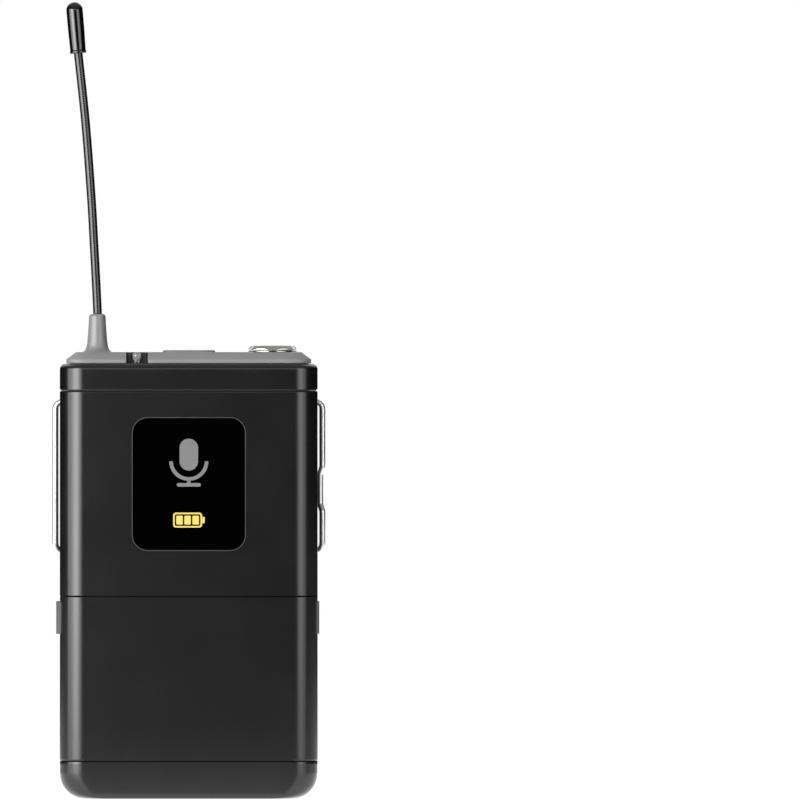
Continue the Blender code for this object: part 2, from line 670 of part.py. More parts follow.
def make_gain_control():
    plate = block("control_plate", (-24, -6.6, 42.4), (24, -5.4, 49.9), "Y", 1.0)
    cut(plate, rod("gain_window", (GAIN_X, -8, GAIN_Z), (GAIN_X, -4, GAIN_Z), 2.6, 24))
    finish(plate, (0.03, 0.03, 0.03), 0.5)
    body = block("gain_pot_body", (GAIN_X - 3.4, -5.0, 42.9), (GAIN_X + 3.4, -1.5, 49.6))
    cut(body, rod("pot_bore", (GAIN_X, -6, GAIN_Z), (GAIN_X, -3, GAIN_Z), 2.35, 24))
    finish(body, (0.03, 0.09, 0.25), 0.45)
    rotor = rod("gain_pot_rotor", (GAIN_X, -6.3, GAIN_Z), (GAIN_X, -3.4, GAIN_Z), 2.05, 24)
    cut(rotor, block("rotor_slot", (GAIN_X - 3, -7, GAIN_Z - 0.35), (GAIN_X + 3, -5.6, GAIN_Z + 0.35)))
    finish(rotor, (0.75, 0.75, 0.72), 0.45)
    flex = block("control_lead", (-4, -1.9, 43.4), (4, -1.5, 49.4))
    join(flex, block("lead_rise", (-4, -1.9, 49.0), (4, -1.5, 56.0)))
    finish(flex, (0.35, 0.17, 0.04), 0.4)


# ---- fasteners, label and clip -------------------------------------------------------------------------------
def make_screw(name, x, z, head_y, tip_y, head_r, shank_r):
    """A pan screw that enters from the back, with its head at head_y."""
    screw = rod(name, (x, head_y, z), (x, head_y - 1.0, z), head_r, 20)
    join(screw, rod(name + "_shank", (x, head_y - 0.5, z), (x, tip_y, z), shank_r, 14))
    return finish(screw, (0.05, 0.05, 0.05), 0.35, 1.0)


def bend(before, corner, after, radius, count=4):
    """Points round a wire's bend between two straight runs."""
    before = Vector(before)
    corner = Vector(corner)
    after = Vector(after)
    into = (before - corner).normalized()
    out = (after - corner).normalized()
    half = into.angle(out) / 2
    reach = radius / math.tan(half)
    centre = corner + (into + out).normalized() * radius / math.sin(half)
    start = corner + into * reach - centre
    end = corner + out * reach - centre
    sweep = start.angle(end)
    points = []
    for i in range(count + 1):
        t = i / count
        point = (start * math.sin((1 - t) * sweep) + end * math.sin(t * sweep)) / math.sin(sweep)
        points.append(tuple(centre + point))
    return points


def clip_corners():
    """The wire's corner points with their bend radii, from the right hole round to the left one."""
    right = [
        ((28.4, CLIP_Y, CLIP_PIVOT_Z), 0),
        ((CLIP_RIGHT, CLIP_Y, CLIP_PIVOT_Z), 1.9),
        ((CLIP_RIGHT, CLIP_Y, 82.3), 1.2),
        ((32.6, 9.5, 80.6), 1.2),
        ((32.6, 9.5, 73.0), 1.2),
        ((CLIP_RIGHT, CLIP_Y, 71.3), 1.2),
    ]
    left = [((-28.4, CLIP_Y, CLIP_PIVOT_Z), 0), ((CLIP_LEFT, CLIP_Y, CLIP_PIVOT_Z), 1.9)]
    lower = []
    for side, x in ((1, CLIP_RIGHT), (-1, CLIP_LEFT)):
        lower.append(
            [
                ((x, CLIP_Y, CLIP_SHOULDER_Z), 1.9),
                ((side * 29.5, 13.4, CLIP_SHOULDER_Z), 2.5),
                ((side * (TONGUE_HALF + 3), TONGUE_Y, CLIP_SHOULDER_Z), 3.0),
                ((side * TONGUE_HALF, TONGUE_Y, CLIP_SHOULDER_Z - 8), 3.0),
                ((side * TONGUE_HALF, TONGUE_Y - 0.6, TONGUE_TIP_Z + 8), 3.0),
                ((side * TONGUE_HALF, TONGUE_Y + 1.6, TONGUE_TIP_Z), 4.0),
            ]
        )
    return right + lower[0] + lower[1][::-1] + left[::-1]


def make_belt_clip():
    corners = clip_corners()
    route = [corners[0][0]]
    for i in range(1, len(corners) - 1):
        point, radius = corners[i]
        route += bend(corners[i - 1][0], point, corners[i + 1][0], radius)
    route.append(corners[-1][0])
    return finish(wire("belt_clip", route, WIRE_R), NICKEL, 0.2, 1.0, smooth=True)


def main():
    make_bottom_cap()
    make_front_cover()
    make_rear_cover()
    make_top_collar()
    door = make_battery_door()
    pad = make_door_pad()
    pins = [make_hinge_pin("hinge_pin_left", -1), make_hinge_pin("hinge_pin_right", 1)]
    tabs = [make_release_tab("release_tab_left", -1), make_release_tab("release_tab_right", 1)]
    make_window()
    make_top_plate()
    make_switch_body()
    knob = make_switch_knob()
    make_led_holder()
    make_led_lens()
    make_socket()
    make_antenna()
    make_battery_tray()
    make_cell("cell_lower", CELL_LOWER_Z, 1)
    make_cell("cell_upper", CELL_UPPER_Z, -1)
    make_contact_plate("contact_bridge", 1, 15, 37.4)
    make_contact_plate("contact_negative", -1, 14, 23.6)
    make_contact_plate("contact_positive", -1, 28.8, 38.4)
    make_contact_spring("contact_spring_lower", -1, CELL_LOWER_Z)
    make_contact_spring("contact_spring_upper", 1, CELL_UPPER_Z)
    make_main_board()
    make_shield_can()
    make_small_parts()
    make_gain_control()
    for i, (x, z) in enumerate(SCREWS):
        make_screw(f"rear_screw_{i + 1}", x, z, 11.35, 6.0 if i < 2 else 7.4, 2.1, 0.9)
    for i, x in enumerate(BOARD_SCREWS):
        make_screw(f"board_screw_{i + 1}", x, BOARD_SCREW_Z, 8.35, 2.0, 1.9, 0.8)
    finish(block("rear_label", (-16.8, 11.25, 64.2), (16.8, 11.45, 83.8), "Y", 0.9), (0.5, 0.5, 0.5), 0.4)
    clip = make_belt_clip()
    pivot("door_axis", (0, HINGE_Y, HINGE_Z), door, pad, *pins, *tabs)
    pivot("switch_axis", (0, 0, 110), knob)
    pivot("clip_axis", (0, CLIP_Y, CLIP_PIVOT_Z), clip)
    pivot("gain_axis", (GAIN_X, -6, GAIN_Z), bpy.data.objects["gain_pot_rotor"])


main()
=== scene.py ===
# %% [markdown]
# # A wireless bodypack transmitter, finished in Blender
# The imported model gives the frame: every shell, screw and joint is already in its place. This lesson builds
# the surfaces around it. Sizes are in millimetres, and `MM` turns them into Blender's metres.

# %% Load the frame
import json
import math

import bmesh
import bpy
from mathutils import Matrix, Vector

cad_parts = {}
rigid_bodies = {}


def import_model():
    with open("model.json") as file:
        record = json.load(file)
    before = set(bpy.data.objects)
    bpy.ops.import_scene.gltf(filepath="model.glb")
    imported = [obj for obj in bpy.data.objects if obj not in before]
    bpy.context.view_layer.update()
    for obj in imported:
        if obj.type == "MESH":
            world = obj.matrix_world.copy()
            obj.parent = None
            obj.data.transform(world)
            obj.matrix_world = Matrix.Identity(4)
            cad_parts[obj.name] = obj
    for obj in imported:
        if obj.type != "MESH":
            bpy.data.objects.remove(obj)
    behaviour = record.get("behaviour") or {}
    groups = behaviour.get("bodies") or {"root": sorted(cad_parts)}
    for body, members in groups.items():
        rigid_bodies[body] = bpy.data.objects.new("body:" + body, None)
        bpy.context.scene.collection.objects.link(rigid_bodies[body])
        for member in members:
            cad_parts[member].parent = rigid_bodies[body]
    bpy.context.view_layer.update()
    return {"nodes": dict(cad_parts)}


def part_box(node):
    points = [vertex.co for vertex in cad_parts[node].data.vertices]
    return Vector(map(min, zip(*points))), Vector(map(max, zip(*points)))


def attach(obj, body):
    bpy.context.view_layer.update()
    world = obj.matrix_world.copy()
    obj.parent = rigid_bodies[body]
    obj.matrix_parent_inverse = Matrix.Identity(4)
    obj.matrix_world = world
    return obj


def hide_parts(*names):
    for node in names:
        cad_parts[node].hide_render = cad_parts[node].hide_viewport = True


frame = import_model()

MM = 0.001

# %% [markdown]
# ## Reading sizes from the frame
# A visible piece stands exactly where its plain solid stands, so its size is read from that solid's box
# rather than typed again.

# %% Boxes in millimetres
def node_box(name):
    """Lowest and highest corner of a node of the frame, in millimetres."""
    low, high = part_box(name)
    return low / MM, high / MM


FRONT_LOW, FRONT_HIGH = node_box("front_cover")
REAR_LOW, REAR_HIGH = node_box("rear_cover")
COLLAR_HIGH = node_box("top_collar")[1]
HALF_X = FRONT_HIGH.x
FRONT_Y = FRONT_LOW.y
BACK_Y = REAR_HIGH.y
HALF_Y = (BACK_Y - FRONT_Y) / 2
CORNER_R = 6.0
FOOT_R = 6.2
RIM_R = 1.4
WALL = 1.9
COLLAR_BASE = 101.65
CAP_TOP = 9.15
THROUGH = 40.0  # far outside the case, for a cut that goes right through it
print(f"case {2 * HALF_X:.1f} x {2 * HALF_Y:.1f} x {COLLAR_HIGH.z:.1f} mm")

# %% [markdown]
# ## Making meshes
# Moulded shells are lofts: the same number of points in every section, joined section by section. Turned
# pieces are a profile spun about an axis. Both are written once here, and small edge radii come from a
# Bevel modifier, because a real moulding never has a knife edge and the light catches on it.

# %% Mesh helpers
def make_object(name, bm):
    """A new object from a bmesh in millimetres."""
    bmesh.ops.scale(bm, vec=(MM, MM, MM), verts=bm.verts)
    bmesh.ops.recalc_face_normals(bm, faces=bm.faces)
    mesh = bpy.data.meshes.new(name)
    bm.to_mesh(mesh)
    bm.free()
    obj = bpy.data.objects.new(name, mesh)
    bpy.context.scene.collection.objects.link(obj)
    return obj


def loft(name, rings, cap="face", loop=False):
    """Join rings of points. cap is "face" for a flat end, "strip" for the end of a thin wall, or None."""
    bm = bmesh.new()
    rows = [[bm.verts.new(point) for point in ring] for ring in rings]
    count = len(rows[0])
    pairs = list(zip(rows, rows[1:]))
    if loop:
        pairs.append((rows[-1], rows[0]))
    for a, b in pairs:
        for i in range(count):
            j = (i + 1) % count
            bm.faces.new((a[i], a[j], b[j], b[i]))
    for row in (rows[0], rows[-1]):
        if cap == "face":
            bm.faces.new(row)
        elif cap == "strip":
            for i in range(count // 2 - 1):
                bm.faces.new((row[i], row[i + 1], row[count - 2 - i], row[count - 1 - i]))
    return make_object(name, bm)


def arc(centre, radius, start, end, steps):
    """Points on an arc in a plane, with angles in degrees."""
    points = []
    for i in range(steps + 1):
        angle = math.radians(start + (end - start) * i / steps)
        points.append((centre[0] + radius * math.cos(angle), centre[1] + radius * math.sin(angle)))
    return points


def turned(name, profile, at, steps=48):
    """Spin (radius, height) points about a vertical axis. A closed profile makes a ring."""
    ends_on_axis = profile[0][0] == 0 and profile[-1][0] == 0
    inner = profile[1:-1] if ends_on_axis else profile
    rings = []
    for radius, height in inner:
        circle = arc((0, 0), radius, 0, 360, steps)[:-1]
        rings.append([(at[0] + x, at[1] + y, at[2] + height) for x, y in circle])
    if not ends_on_axis:
        return loft(name, rings, cap=None, loop=True)
    return loft(name, rings)


def shoulder(radius, reach, top, drop, angles):
    """Profile points of a rounded shoulder: it goes out by reach from radius, and down by drop from top."""
    turns = [math.radians(a) for a in angles]
    return [(radius + reach * math.sin(a), top - drop + drop * math.cos(a)) for a in turns]


def slab(name, points, low, high, axis):
    """A flat outline made thick along one axis. The points are (y, z) for X, (x, z) for Y, (x, y) for Z."""
    place = {
        "X": lambda a, b, t: (t, a, b),
        "Y": lambda a, b, t: (a, t, b),
        "Z": lambda a, b, t: (a, b, t),
    }[axis]
    return loft(name, [[place(a, b, t) for a, b in points] for t in (low, high)])


def rounded(low, high, radius, steps=8):
    """The outline of a rectangle with round corners."""
    (a0, b0), (a1, b1) = low, high
    points = arc((a1 - radius, b0 + radius), radius, -90, 0, steps)
    points += arc((a1 - radius, b1 - radius), radius, 0, 90, steps)
    points += arc((a0 + radius, b1 - radius), radius, 90, 180, steps)
    points += arc((a0 + radius, b0 + radius), radius, 180, 270, steps)
    return points


def box_piece(name, low, high, axis="Z", radius=0.2):
    """A box with round corners, seen along one axis."""
    k = "XYZ".index(axis)
    a, b = [i for i in range(3) if i != k]
    outline = rounded((low[a], low[b]), (high[a], high[b]), radius, 4)
    return slab(name, outline, low[k], high[k], axis)


def rod(name, start, end, radius, sides=32):
    """A plain cylinder between two points, used to cut holes and to add posts."""
    start = Vector(start)
    run = Vector(end) - start
    turn = Vector((0, 0, 1)).rotation_difference(run.normalized()).to_matrix()
    circle = arc((0, 0), radius, 0, 360, sides)[:-1]
    rings = []
    for share in (0, 1):
        rings.append([start + run * share + turn @ Vector((x, y, 0)) for x, y in circle])
    return loft(name, rings)


def combine(obj, operation, *others):
    """Cut, join or intersect with other objects, which are used up."""
    for other in others:
        modifier = obj.modifiers.new("boolean", "BOOLEAN")
        modifier.operation = operation
        modifier.object = other
        bpy.context.view_layer.update()
        shape = bpy.data.meshes.new_from_object(obj.evaluated_get(bpy.context.evaluated_depsgraph_get()))
        obj.modifiers.clear()
        obj.data = shape
        bpy.data.objects.remove(other)
    return obj


def cut(obj, *others):
    return combine(obj, "DIFFERENCE", *others)


def join(obj, *others):
    return combine(obj, "UNION", *others)


def turn_and_move(obj, degrees, axis, spot):
    """Turn a mesh that was made at the origin about one axis, then move it to its spot."""
    turn = Matrix.Rotation(math.radians(degrees), 4, axis)
    obj.data.transform(Matrix.Translation(Vector(spot) * MM) @ turn)
    return obj


def soften(obj, width=0.2, segments=3, angle=38):
    """Round the sharp edges and keep the flats flat-shaded with weighted normals."""
    obj.data.shade_smooth()
    bevel = obj.modifiers.new("edge radius", "BEVEL")
    bevel.width = width * MM
    bevel.segments = segments
    bevel.limit_method = "ANGLE"
    bevel.angle_limit = math.radians(angle)
    bevel.use_clamp_overlap = True
    weight = obj.modifiers.new("even shading", "WEIGHTED_NORMAL")
    weight.keep_sharp = True
    return obj


def smooth(obj, angle=40):
    """Smooth shading with creases kept."""
    obj.data.shade_smooth()
    obj.data.set_sharp_from_angle(angle=math.radians(angle))
    return obj


# %% [markdown]
# ## Materials
# Each finish is named for the real material and how its surface was made. Colours are given as sRGB hex,
# the way they are read off a sample, and one function turns them to the linear values that the shader
# wants. Texture coordinates are the object's own, in metres, so a grain size in millimetres becomes a scale
# of 1 / (size * MM).

# %% Material helpers
# A Mix node has several sockets of the same name, so its colour sockets are taken by their place.
MIX_A = 6
MIX_B = 7
MIX_RESULT = 2


def linear(hex_colour):
    """An sRGB hex colour as linear RGBA."""
    values = []
    for i in (1, 3, 5):
        c = int(hex_colour[i:i + 2], 16) / 255
        values.append(c / 12.92 if c <= 0.04045 else ((c + 0.055) / 1.055) ** 2.4)
    return (*values, 1.0)


def add_node(tree, kind, settings=None, inputs=None):
    """Add a shader node. settings are its own properties; inputs are values or sockets to link from."""
    node = tree.nodes.new(kind)
    for key, value in (settings or {}).items():
        setattr(node, key, value)
    for key, value in (inputs or {}).items():
        if isinstance(value, bpy.types.NodeSocket):
            tree.links.new(value, node.inputs[key])
        else:
            node.inputs[key].default_value = value
    return node


def new_material(name, colour, roughness, metallic=0.0, ior=None, **sockets):
    """A Principled material with plain values on its own sockets."""
    material = bpy.data.materials.new(name)
    material.use_nodes = True
    shader = material.node_tree.nodes["Principled BSDF"]
    shader.inputs["Base Color"].default_value = linear(colour)
    shader.inputs["Roughness"].default_value = roughness
    shader.inputs["Metallic"].default_value = metallic
    if ior:
        shader.inputs["IOR"].default_value = ior
    for key, value in sockets.items():
        shader.inputs[key.replace("_", " ")].default_value = value
    material.diffuse_color = linear(colour)
    return material, material.node_tree, shader


def blend_colours(tree, shader, share, colour_a, colour_b):
    """The base colour goes from colour_a to colour_b as share goes from 0 to 1."""
    ends = {MIX_A: linear(colour_a), MIX_B: linear(colour_b)}
    mix = add_node(tree, "ShaderNodeMix", {"data_type": "RGBA"}, {"Factor": share, **ends})
    tree.links.new(mix.outputs[MIX_RESULT], shader.inputs["Base Color"])


def surface_grain(
    tree, shader, grain_mm, depth_mm, roughness, stretch=(1, 1, 1), colours=None, patch_mm=9.0
):
    """Fine relief at grain_mm, and roughness (and colour) that drift slowly over patches of patch_mm."""
    where = add_node(tree, "ShaderNodeTexCoord").outputs["Object"]
    mapped = add_node(
        tree, "ShaderNodeMapping", inputs={"Vector": where, "Scale": stretch}
    ).outputs["Vector"]
    fine = add_node(
        tree, "ShaderNodeTexNoise", inputs={"Vector": mapped, "Scale": 1 / (grain_mm * MM), "Detail": 3.0}
    ).outputs["Fac"]
    patches = add_node(
        tree, "ShaderNodeTexNoise", inputs={"Vector": where, "Scale": 1 / (patch_mm * MM), "Detail": 4.0}
    ).outputs["Fac"]
    relief = {"Height": fine, "Strength": 0.6, "Distance": depth_mm * MM}
    bump = add_node(tree, "ShaderNodeBump", inputs=relief)
    tree.links.new(bump.outputs["Normal"], shader.inputs["Normal"])
    drift = {"Value": patches, "From Min": 0.3, "From Max": 0.7}
    drift.update({"To Min": roughness[0], "To Max": roughness[1]})
    spread = add_node(tree, "ShaderNodeMapRange", inputs=drift)
    tree.links.new(spread.outputs["Result"], shader.inputs["Roughness"])
    if colours:
        blend_colours(tree, shader, patches, *colours)


# %% [markdown]
# ### Plastics
# The case is ABS from a spark-eroded mould: very dark, satin, with a relief of a quarter of a millimetre
# that only breaks up the highlight. The top panel is the same plastic in grey. The front panel is polished
# acrylic, and the antenna's boot is a soft elastomer, which is rougher.

# %% Plastics
def abs_black():
    """Moulded black ABS, spark-eroded texture: a satin highlight with a slightly grainy edge."""
    material, tree, shader = new_material("abs_black_moulded", "#080808", 0.25, ior=1.53)
    pigment = ("#060606", "#080808")
    surface_grain(tree, shader, 0.22, 0.005, (0.24, 0.265), colours=pigment, patch_mm=14.0)
    return material


def abs_grey():
    """Moulded grey ABS: the same texture on a lighter pigment, so the grain shows less than the tone."""
    material, tree, shader = new_material("abs_grey_moulded", "#707070", 0.48, ior=1.53)
    surface_grain(tree, shader, 0.25, 0.008, (0.44, 0.54), colours=("#6c6c6c", "#757575"))
    return material


def abs_dark_grey():
    """Moulded dark grey ABS of the release tabs, a little polished by thumbs."""
    material, tree, shader = new_material("abs_dark_grey_moulded", "#4e4e4f", 0.42, ior=1.53)
    surface_grain(tree, shader, 0.2, 0.006, (0.34, 0.48), colours=("#484849", "#565657"), patch_mm=3.0)
    return material


def inner_black():
    """Plain moulded black of the inner parts, straight from a machined mould."""
    material, tree, shader = new_material("abs_black_inner", "#101011", 0.55, ior=1.53)
    surface_grain(tree, shader, 0.4, 0.01, (0.48, 0.62), colours=("#0d0d0e", "#151516"))
    return material


def acrylic_black():
    """Black acrylic with an anti-glare coat: pure black, a thin sharp reflection, the faintest wipe marks."""
    material, tree, shader = new_material(
        "acrylic_black_coated", "#010101", 0.05, ior=1.49, Specular_IOR_Level=0.12
    )
    surface_grain(tree, shader, 6.0, 0.0004, (0.03, 0.07), patch_mm=14.0)
    return material


def ink(name, colour):
    """Screen-printed ink: flat, opaque, a little rough against the polished panel."""
    material, tree, shader = new_material(name, colour, 0.45, ior=1.5)
    surface_grain(tree, shader, 0.15, 0.002, (0.4, 0.5))
    return material


def elastomer_grey():
    """Moulded thermoplastic elastomer: soft edged grey with a silky gloss."""
    material, tree, shader = new_material("elastomer_grey_moulded", "#727271", 0.34, ior=1.5)
    surface_grain(tree, shader, 0.18, 0.004, (0.3, 0.42), colours=("#6e6e6d", "#777777"), patch_mm=5.0)
    return material


def sleeve_black():
    """PVC sleeve of the whip: black, satin, tight over the coil inside."""
    material, tree, shader = new_material("pvc_sleeve_black", "#121213", 0.15, ior=1.53)
    surface_grain(tree, shader, 0.12, 0.001, (0.12, 0.18), colours=("#0d0d0e", "#131314"), patch_mm=4.0)
    return material


def gloss_black():
    """Polished black cap of the antenna."""
    material, tree, shader = new_material("polycarbonate_black_gloss", "#060606", 0.09, ior=1.58)
    surface_grain(tree, shader, 1.5, 0.0008, (0.07, 0.13), patch_mm=5.0)
    return material


# %% [markdown]
# ### Metals
# The socket's nut is nickel plated: bright, warm by a hair, with fine turning marks. The clip is drawn
# spring steel wire, so its marks run along the wire. A metal keeps the default IOR and takes its look from
# its colour and roughness.

# %% Metals
def nickel_plate():
    """Bright nickel plate over turned brass: fine polishing marks and soft clouding."""
    material, tree, shader = new_material("nickel_plate_bright", "#b9b7b2", 0.22, metallic=1.0)
    surface_grain(tree, shader, 0.12, 0.002, (0.12, 0.24), stretch=(1, 1, 6), patch_mm=2.5)
    return material


def spring_wire():
    """Drawn spring steel, nickel plated: bright, with marks along the wire."""
    material, tree, shader = new_material("spring_steel_drawn", "#c6c5c2", 0.32, metallic=1.0)
    surface_grain(tree, shader, 0.16, 0.003, (0.28, 0.4), stretch=(1, 1, 0.06), patch_mm=6.0)
    return material


def tinned_sheet():
    """Tin-plated steel sheet of cans and contact plates."""
    material, tree, shader = new_material("tinned_steel_sheet", "#c2c2c0", 0.3, metallic=1.0)
    surface_grain(tree, shader, 0.3, 0.004, (0.24, 0.42), patch_mm=3.0)
    return material


def contact_gold():
    """Thin gold flash on brass, as on socket pins."""
    material, tree, shader = new_material("brass_gold_flash", "#e0b765", 0.22, metallic=1.0)
    surface_grain(tree, shader, 0.1, 0.002, (0.18, 0.3), patch_mm=1.5)
    return material


def black_oxide():
    """Black oxide on steel screws: dark, half metallic, oily sheen."""
    material, tree, shader = new_material("steel_black_oxide", "#3a3a3c", 0.36, metallic=1.0)
    surface_grain(tree, shader, 0.15, 0.004, (0.3, 0.46), patch_mm=1.5)
    return material


# %% [markdown]
# ### Clear, printed and soft materials
# The lamp's lens is clear polycarbonate, so it has transmission. The cells wear a shrink sleeve in two
# plain tones, split near one end. Circuit board, foam and film each get their own grain.

# %% Clear, printed and soft
def clear_lens():
    """Clear moulded polycarbonate."""
    material, tree, shader = new_material(
        "polycarbonate_clear", "#c9cccc", 0.16, ior=1.58, Transmission_Weight=0.8
    )
    surface_grain(tree, shader, 0.5, 0.002, (0.12, 0.22), patch_mm=1.0)
    return material


def cell_sleeve(name, split_x, positive_side):
    """Plain unprinted shrink sleeve of a cell: grey, with a green band at the positive end."""
    material, tree, shader = new_material(name, "#7f8385", 0.24, ior=1.5)
    surface_grain(tree, shader, 0.8, 0.004, (0.18, 0.3), patch_mm=7.0)
    where = add_node(tree, "ShaderNodeTexCoord").outputs["Object"]
    x = add_node(tree, "ShaderNodeSeparateXYZ", inputs={"Vector": where}).outputs["X"]
    toward = add_node(tree, "ShaderNodeMath", {"operation": "MULTIPLY"}, {0: x, 1: float(positive_side)})
    past_split = {0: toward.outputs[0], 1: split_x * MM}
    banded = add_node(tree, "ShaderNodeMath", {"operation": "GREATER_THAN"}, past_split).outputs[0]
    blend_colours(tree, shader, banded, "#7f8385", "#2f5445")
    return material


def board_green():
    """Solder mask over copper: glossy green with darker traces about 0.6 mm apart."""
    material, tree, shader = new_material("solder_mask_green", "#14502c", 0.25, ior=1.55)
    where = add_node(tree, "ShaderNodeTexCoord").outputs["Object"]
    cells = add_node(
        tree, "ShaderNodeTexVoronoi", {"distance": "MANHATTAN"}, {"Vector": where, "Scale": 1 / (2.4 * MM)}
    ).outputs["Distance"]
    step = add_node(tree, "ShaderNodeMath", {"operation": "GREATER_THAN"}, {0: cells, 1: 0.55}).outputs[0]
    blend_colours(tree, shader, step, "#1c6a3b", "#0e3d20")
    bump = add_node(tree, "ShaderNodeBump", inputs={"Height": step, "Strength": 0.5, "Distance": 0.03 * MM})
    tree.links.new(bump.outputs["Normal"], shader.inputs["Normal"])
    return material


def foam_black():
    """Open-cell polyurethane foam: cells about 0.5 mm across, no gloss."""
    material, tree, shader = new_material("polyurethane_foam_black", "#1c1c1d", 0.95)
    surface_grain(tree, shader, 0.5, 0.2, (0.9, 1.0), colours=("#121213", "#29292a"), patch_mm=0.6)
    return material


def silver_film():
    """Satin silver polyester film of the blank rating label."""
    material, tree, shader = new_material("polyester_film_silver", "#b4b5b6", 0.32, metallic=0.7)
    surface_grain(tree, shader, 0.2, 0.003, (0.28, 0.4), stretch=(0.1, 1, 1), patch_mm=8.0)
    return material


def plain_moulding(name, colour, roughness=0.45):
    """A coloured inner moulding, such as a trimmer or a ribbon cable."""
    material, tree, shader = new_material(name, colour, roughness, ior=1.5)
    surface_grain(tree, shader, 0.3, 0.006, (roughness - 0.06, roughness + 0.08), patch_mm=3.0)
    return material


ABS_BLACK = abs_black()
ABS_GREY = abs_grey()
TAB_GREY = abs_dark_grey()
INNER_BLACK = inner_black()
ACRYLIC = acrylic_black()
INK_GREY = ink("ink_grey_printed", "#636363")
INK_DARK = ink("ink_dark_grey_printed", "#242424")
INK_YELLOW = ink("ink_yellow_printed", "#bfae4f")
ELASTOMER = elastomer_grey()
SLEEVE = sleeve_black()
GLOSS_BLACK = gloss_black()
NICKEL = nickel_plate()
WIRE_STEEL = spring_wire()
TINNED = tinned_sheet()
GOLD = contact_gold()
OXIDE = black_oxide()
CLEAR = clear_lens()
BOARD = board_green()
FOAM = foam_black()
FILM = silver_film()
print("materials:", len(bpy.data.materials))

# %% [markdown]
# ## Placing a piece
# Every visible piece takes its material, rides on a body of the frame, and hides the plain solid it stands
# for.
# One function does all three, so none is forgotten.

# %% Place
def place(obj, body, slot, material, *replaced):
    obj.data.materials.clear()
    obj.data.materials.append(material)
    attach(obj, body)
    if replaced:
        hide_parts(*replaced)
    return obj


# %% [markdown]
# ## Case sections
# Seen from above the case is a rectangle with 6 mm corners. Towards the foot its sides come in along a 6.2
# mm arc while front and back only lose a 1 mm radius, and the rim rounds over by 1.4 mm all the way round.
# One function gives the half sizes at any height, and every shell takes its sections from it, so the shells
# meet.

# %% Sections of the case
FOOT_EDGE_R = 1.0


def case_size(z, inset):
    """Half width, half depth and corner radius of the case at a height."""
    low = z - inset
    foot = FOOT_R - inset
    half_x = HALF_X - inset
    half_y = HALF_Y - inset
    if low < foot:
        half_x -= foot - math.sqrt(max(foot ** 2 - (foot - low) ** 2, 0))
    if low < FOOT_EDGE_R:
        half_y -= FOOT_EDGE_R - math.sqrt(max(FOOT_EDGE_R ** 2 - (FOOT_EDGE_R - low) ** 2, 0))
    over = z - (COLLAR_HIGH.z - RIM_R)
    if over > 0 and inset == 0:
        drop = RIM_R - math.sqrt(max(RIM_R ** 2 - over ** 2, 0))
        half_x -= drop
        half_y -= drop
    return half_x, half_y, CORNER_R - inset


def full_section(z, inset=0.0, steps=14):
    half_x, half_y, radius = case_size(z, inset)
    radius = min(radius, half_y - 0.5)
    return [(x, y, z) for x, y in rounded((-half_x, -half_y), (half_x, half_y), radius, steps)]


def half_path(z, inset, y_end, sign, steps=14):
    """The front (sign -1) or back (sign 1) half of a section, from the right side round to the left."""
    half_x, half_y, radius = case_size(z, inset)
    points = [(half_x, y_end)]
    points += arc((half_x - radius, half_y - radius), radius, 0, 90, steps)
    points += [(half_x * share, half_y) for share in (0.5, 0.17, -0.17, -0.5)]
    points += arc((-half_x + radius, half_y - radius), radius, 90, 180, steps)
    points.append((-half_x, y_end))
    return [(x, y if i in (0, len(points) - 1) else sign * y, z) for i, (x, y) in enumerate(points)]


def half_shell(name, heights, y_end, sign, edge_r=0.0):
    """A U-shaped wall. edge_r rounds its outer edge at the top, which catches a thin line of light."""
    top = heights[-1]
    if edge_r:
        steps = [edge_r * (1 - math.sin(math.radians(a))) for a in (0, 12, 25, 40, 60, 80)]
        heights = heights[:-1] + [top - step for step in steps]
    rings = []
    for z in heights:
        over = max(z - (top - edge_r), 0) if edge_r else 0
        drop = edge_r - math.sqrt(max(edge_r ** 2 - over ** 2, 0))
        rings.append(half_path(z, drop, y_end, sign) + half_path(z, WALL, y_end, sign)[::-1])
    return loft(name, rings, cap="strip")


def spread(low, high, count):
    return [low + (high - low) * i / count for i in range(count + 1)]


# %% [markdown]
# ## The front cover
# The front cover is a shallow tray on its side. Its pocket takes the acrylic panel, so the panel sits
# almost flush with a fine line round it. Four posts inside carry the screws.

# %% Front cover
WINDOW_LOW, WINDOW_HIGH = node_box("window")
FRONT_END_Y = -1.15
COVER_EDGE_R = 0.55
front = half_shell("front_cover_shell", spread(FRONT_LOW.z, FRONT_HIGH.z, 6), FRONT_END_Y, -1, COVER_EDGE_R)
pocket = rounded(
    (WINDOW_LOW.x - 0.12, WINDOW_LOW.z - 0.12), (WINDOW_HIGH.x + 0.12, WINDOW_HIGH.z + 0.12), 4.1, 12
)
cut(front, slab("pocket", pocket, FRONT_Y - 2, WINDOW_HIGH.y + 0.1, "Y"))
REAR_SCREWS = [node_box(f"rear_screw_{i}") for i in (1, 2, 3, 4)]
SCREW_SPOTS = [((low + high) / 2) for low, high in REAR_SCREWS]
BOARD_SPOTS = [((low + high) / 2) for low, high in (node_box("board_screw_1"), node_box("board_screw_2"))]
for spot, radius, bore, end in (
    [(s, 2.4, 1.05, 9.2) for s in SCREW_SPOTS[:2]] + [(s, 2.2, 0.95, 5.3) for s in BOARD_SPOTS]
):
    join(front, rod("post", (spot.x, FRONT_Y + 1, spot.z), (spot.x, end, spot.z), radius))
    cut(front, rod("bore", (spot.x, 0, spot.z), (spot.x, end + 2, spot.z), bore, 20))
LIP_X = 27.0
LIP_BACK = -8.75
LIP_TOP = 51.4
lip = box_piece("lip", (-LIP_X, -9.45, 49.0), (LIP_X, LIP_BACK, LIP_TOP), "X", 0.2)
join(lip, box_piece("lip_root", (-LIP_X, -9.8, 50.6), (LIP_X, LIP_BACK, LIP_TOP), "X", 0.1))
join(front, lip)
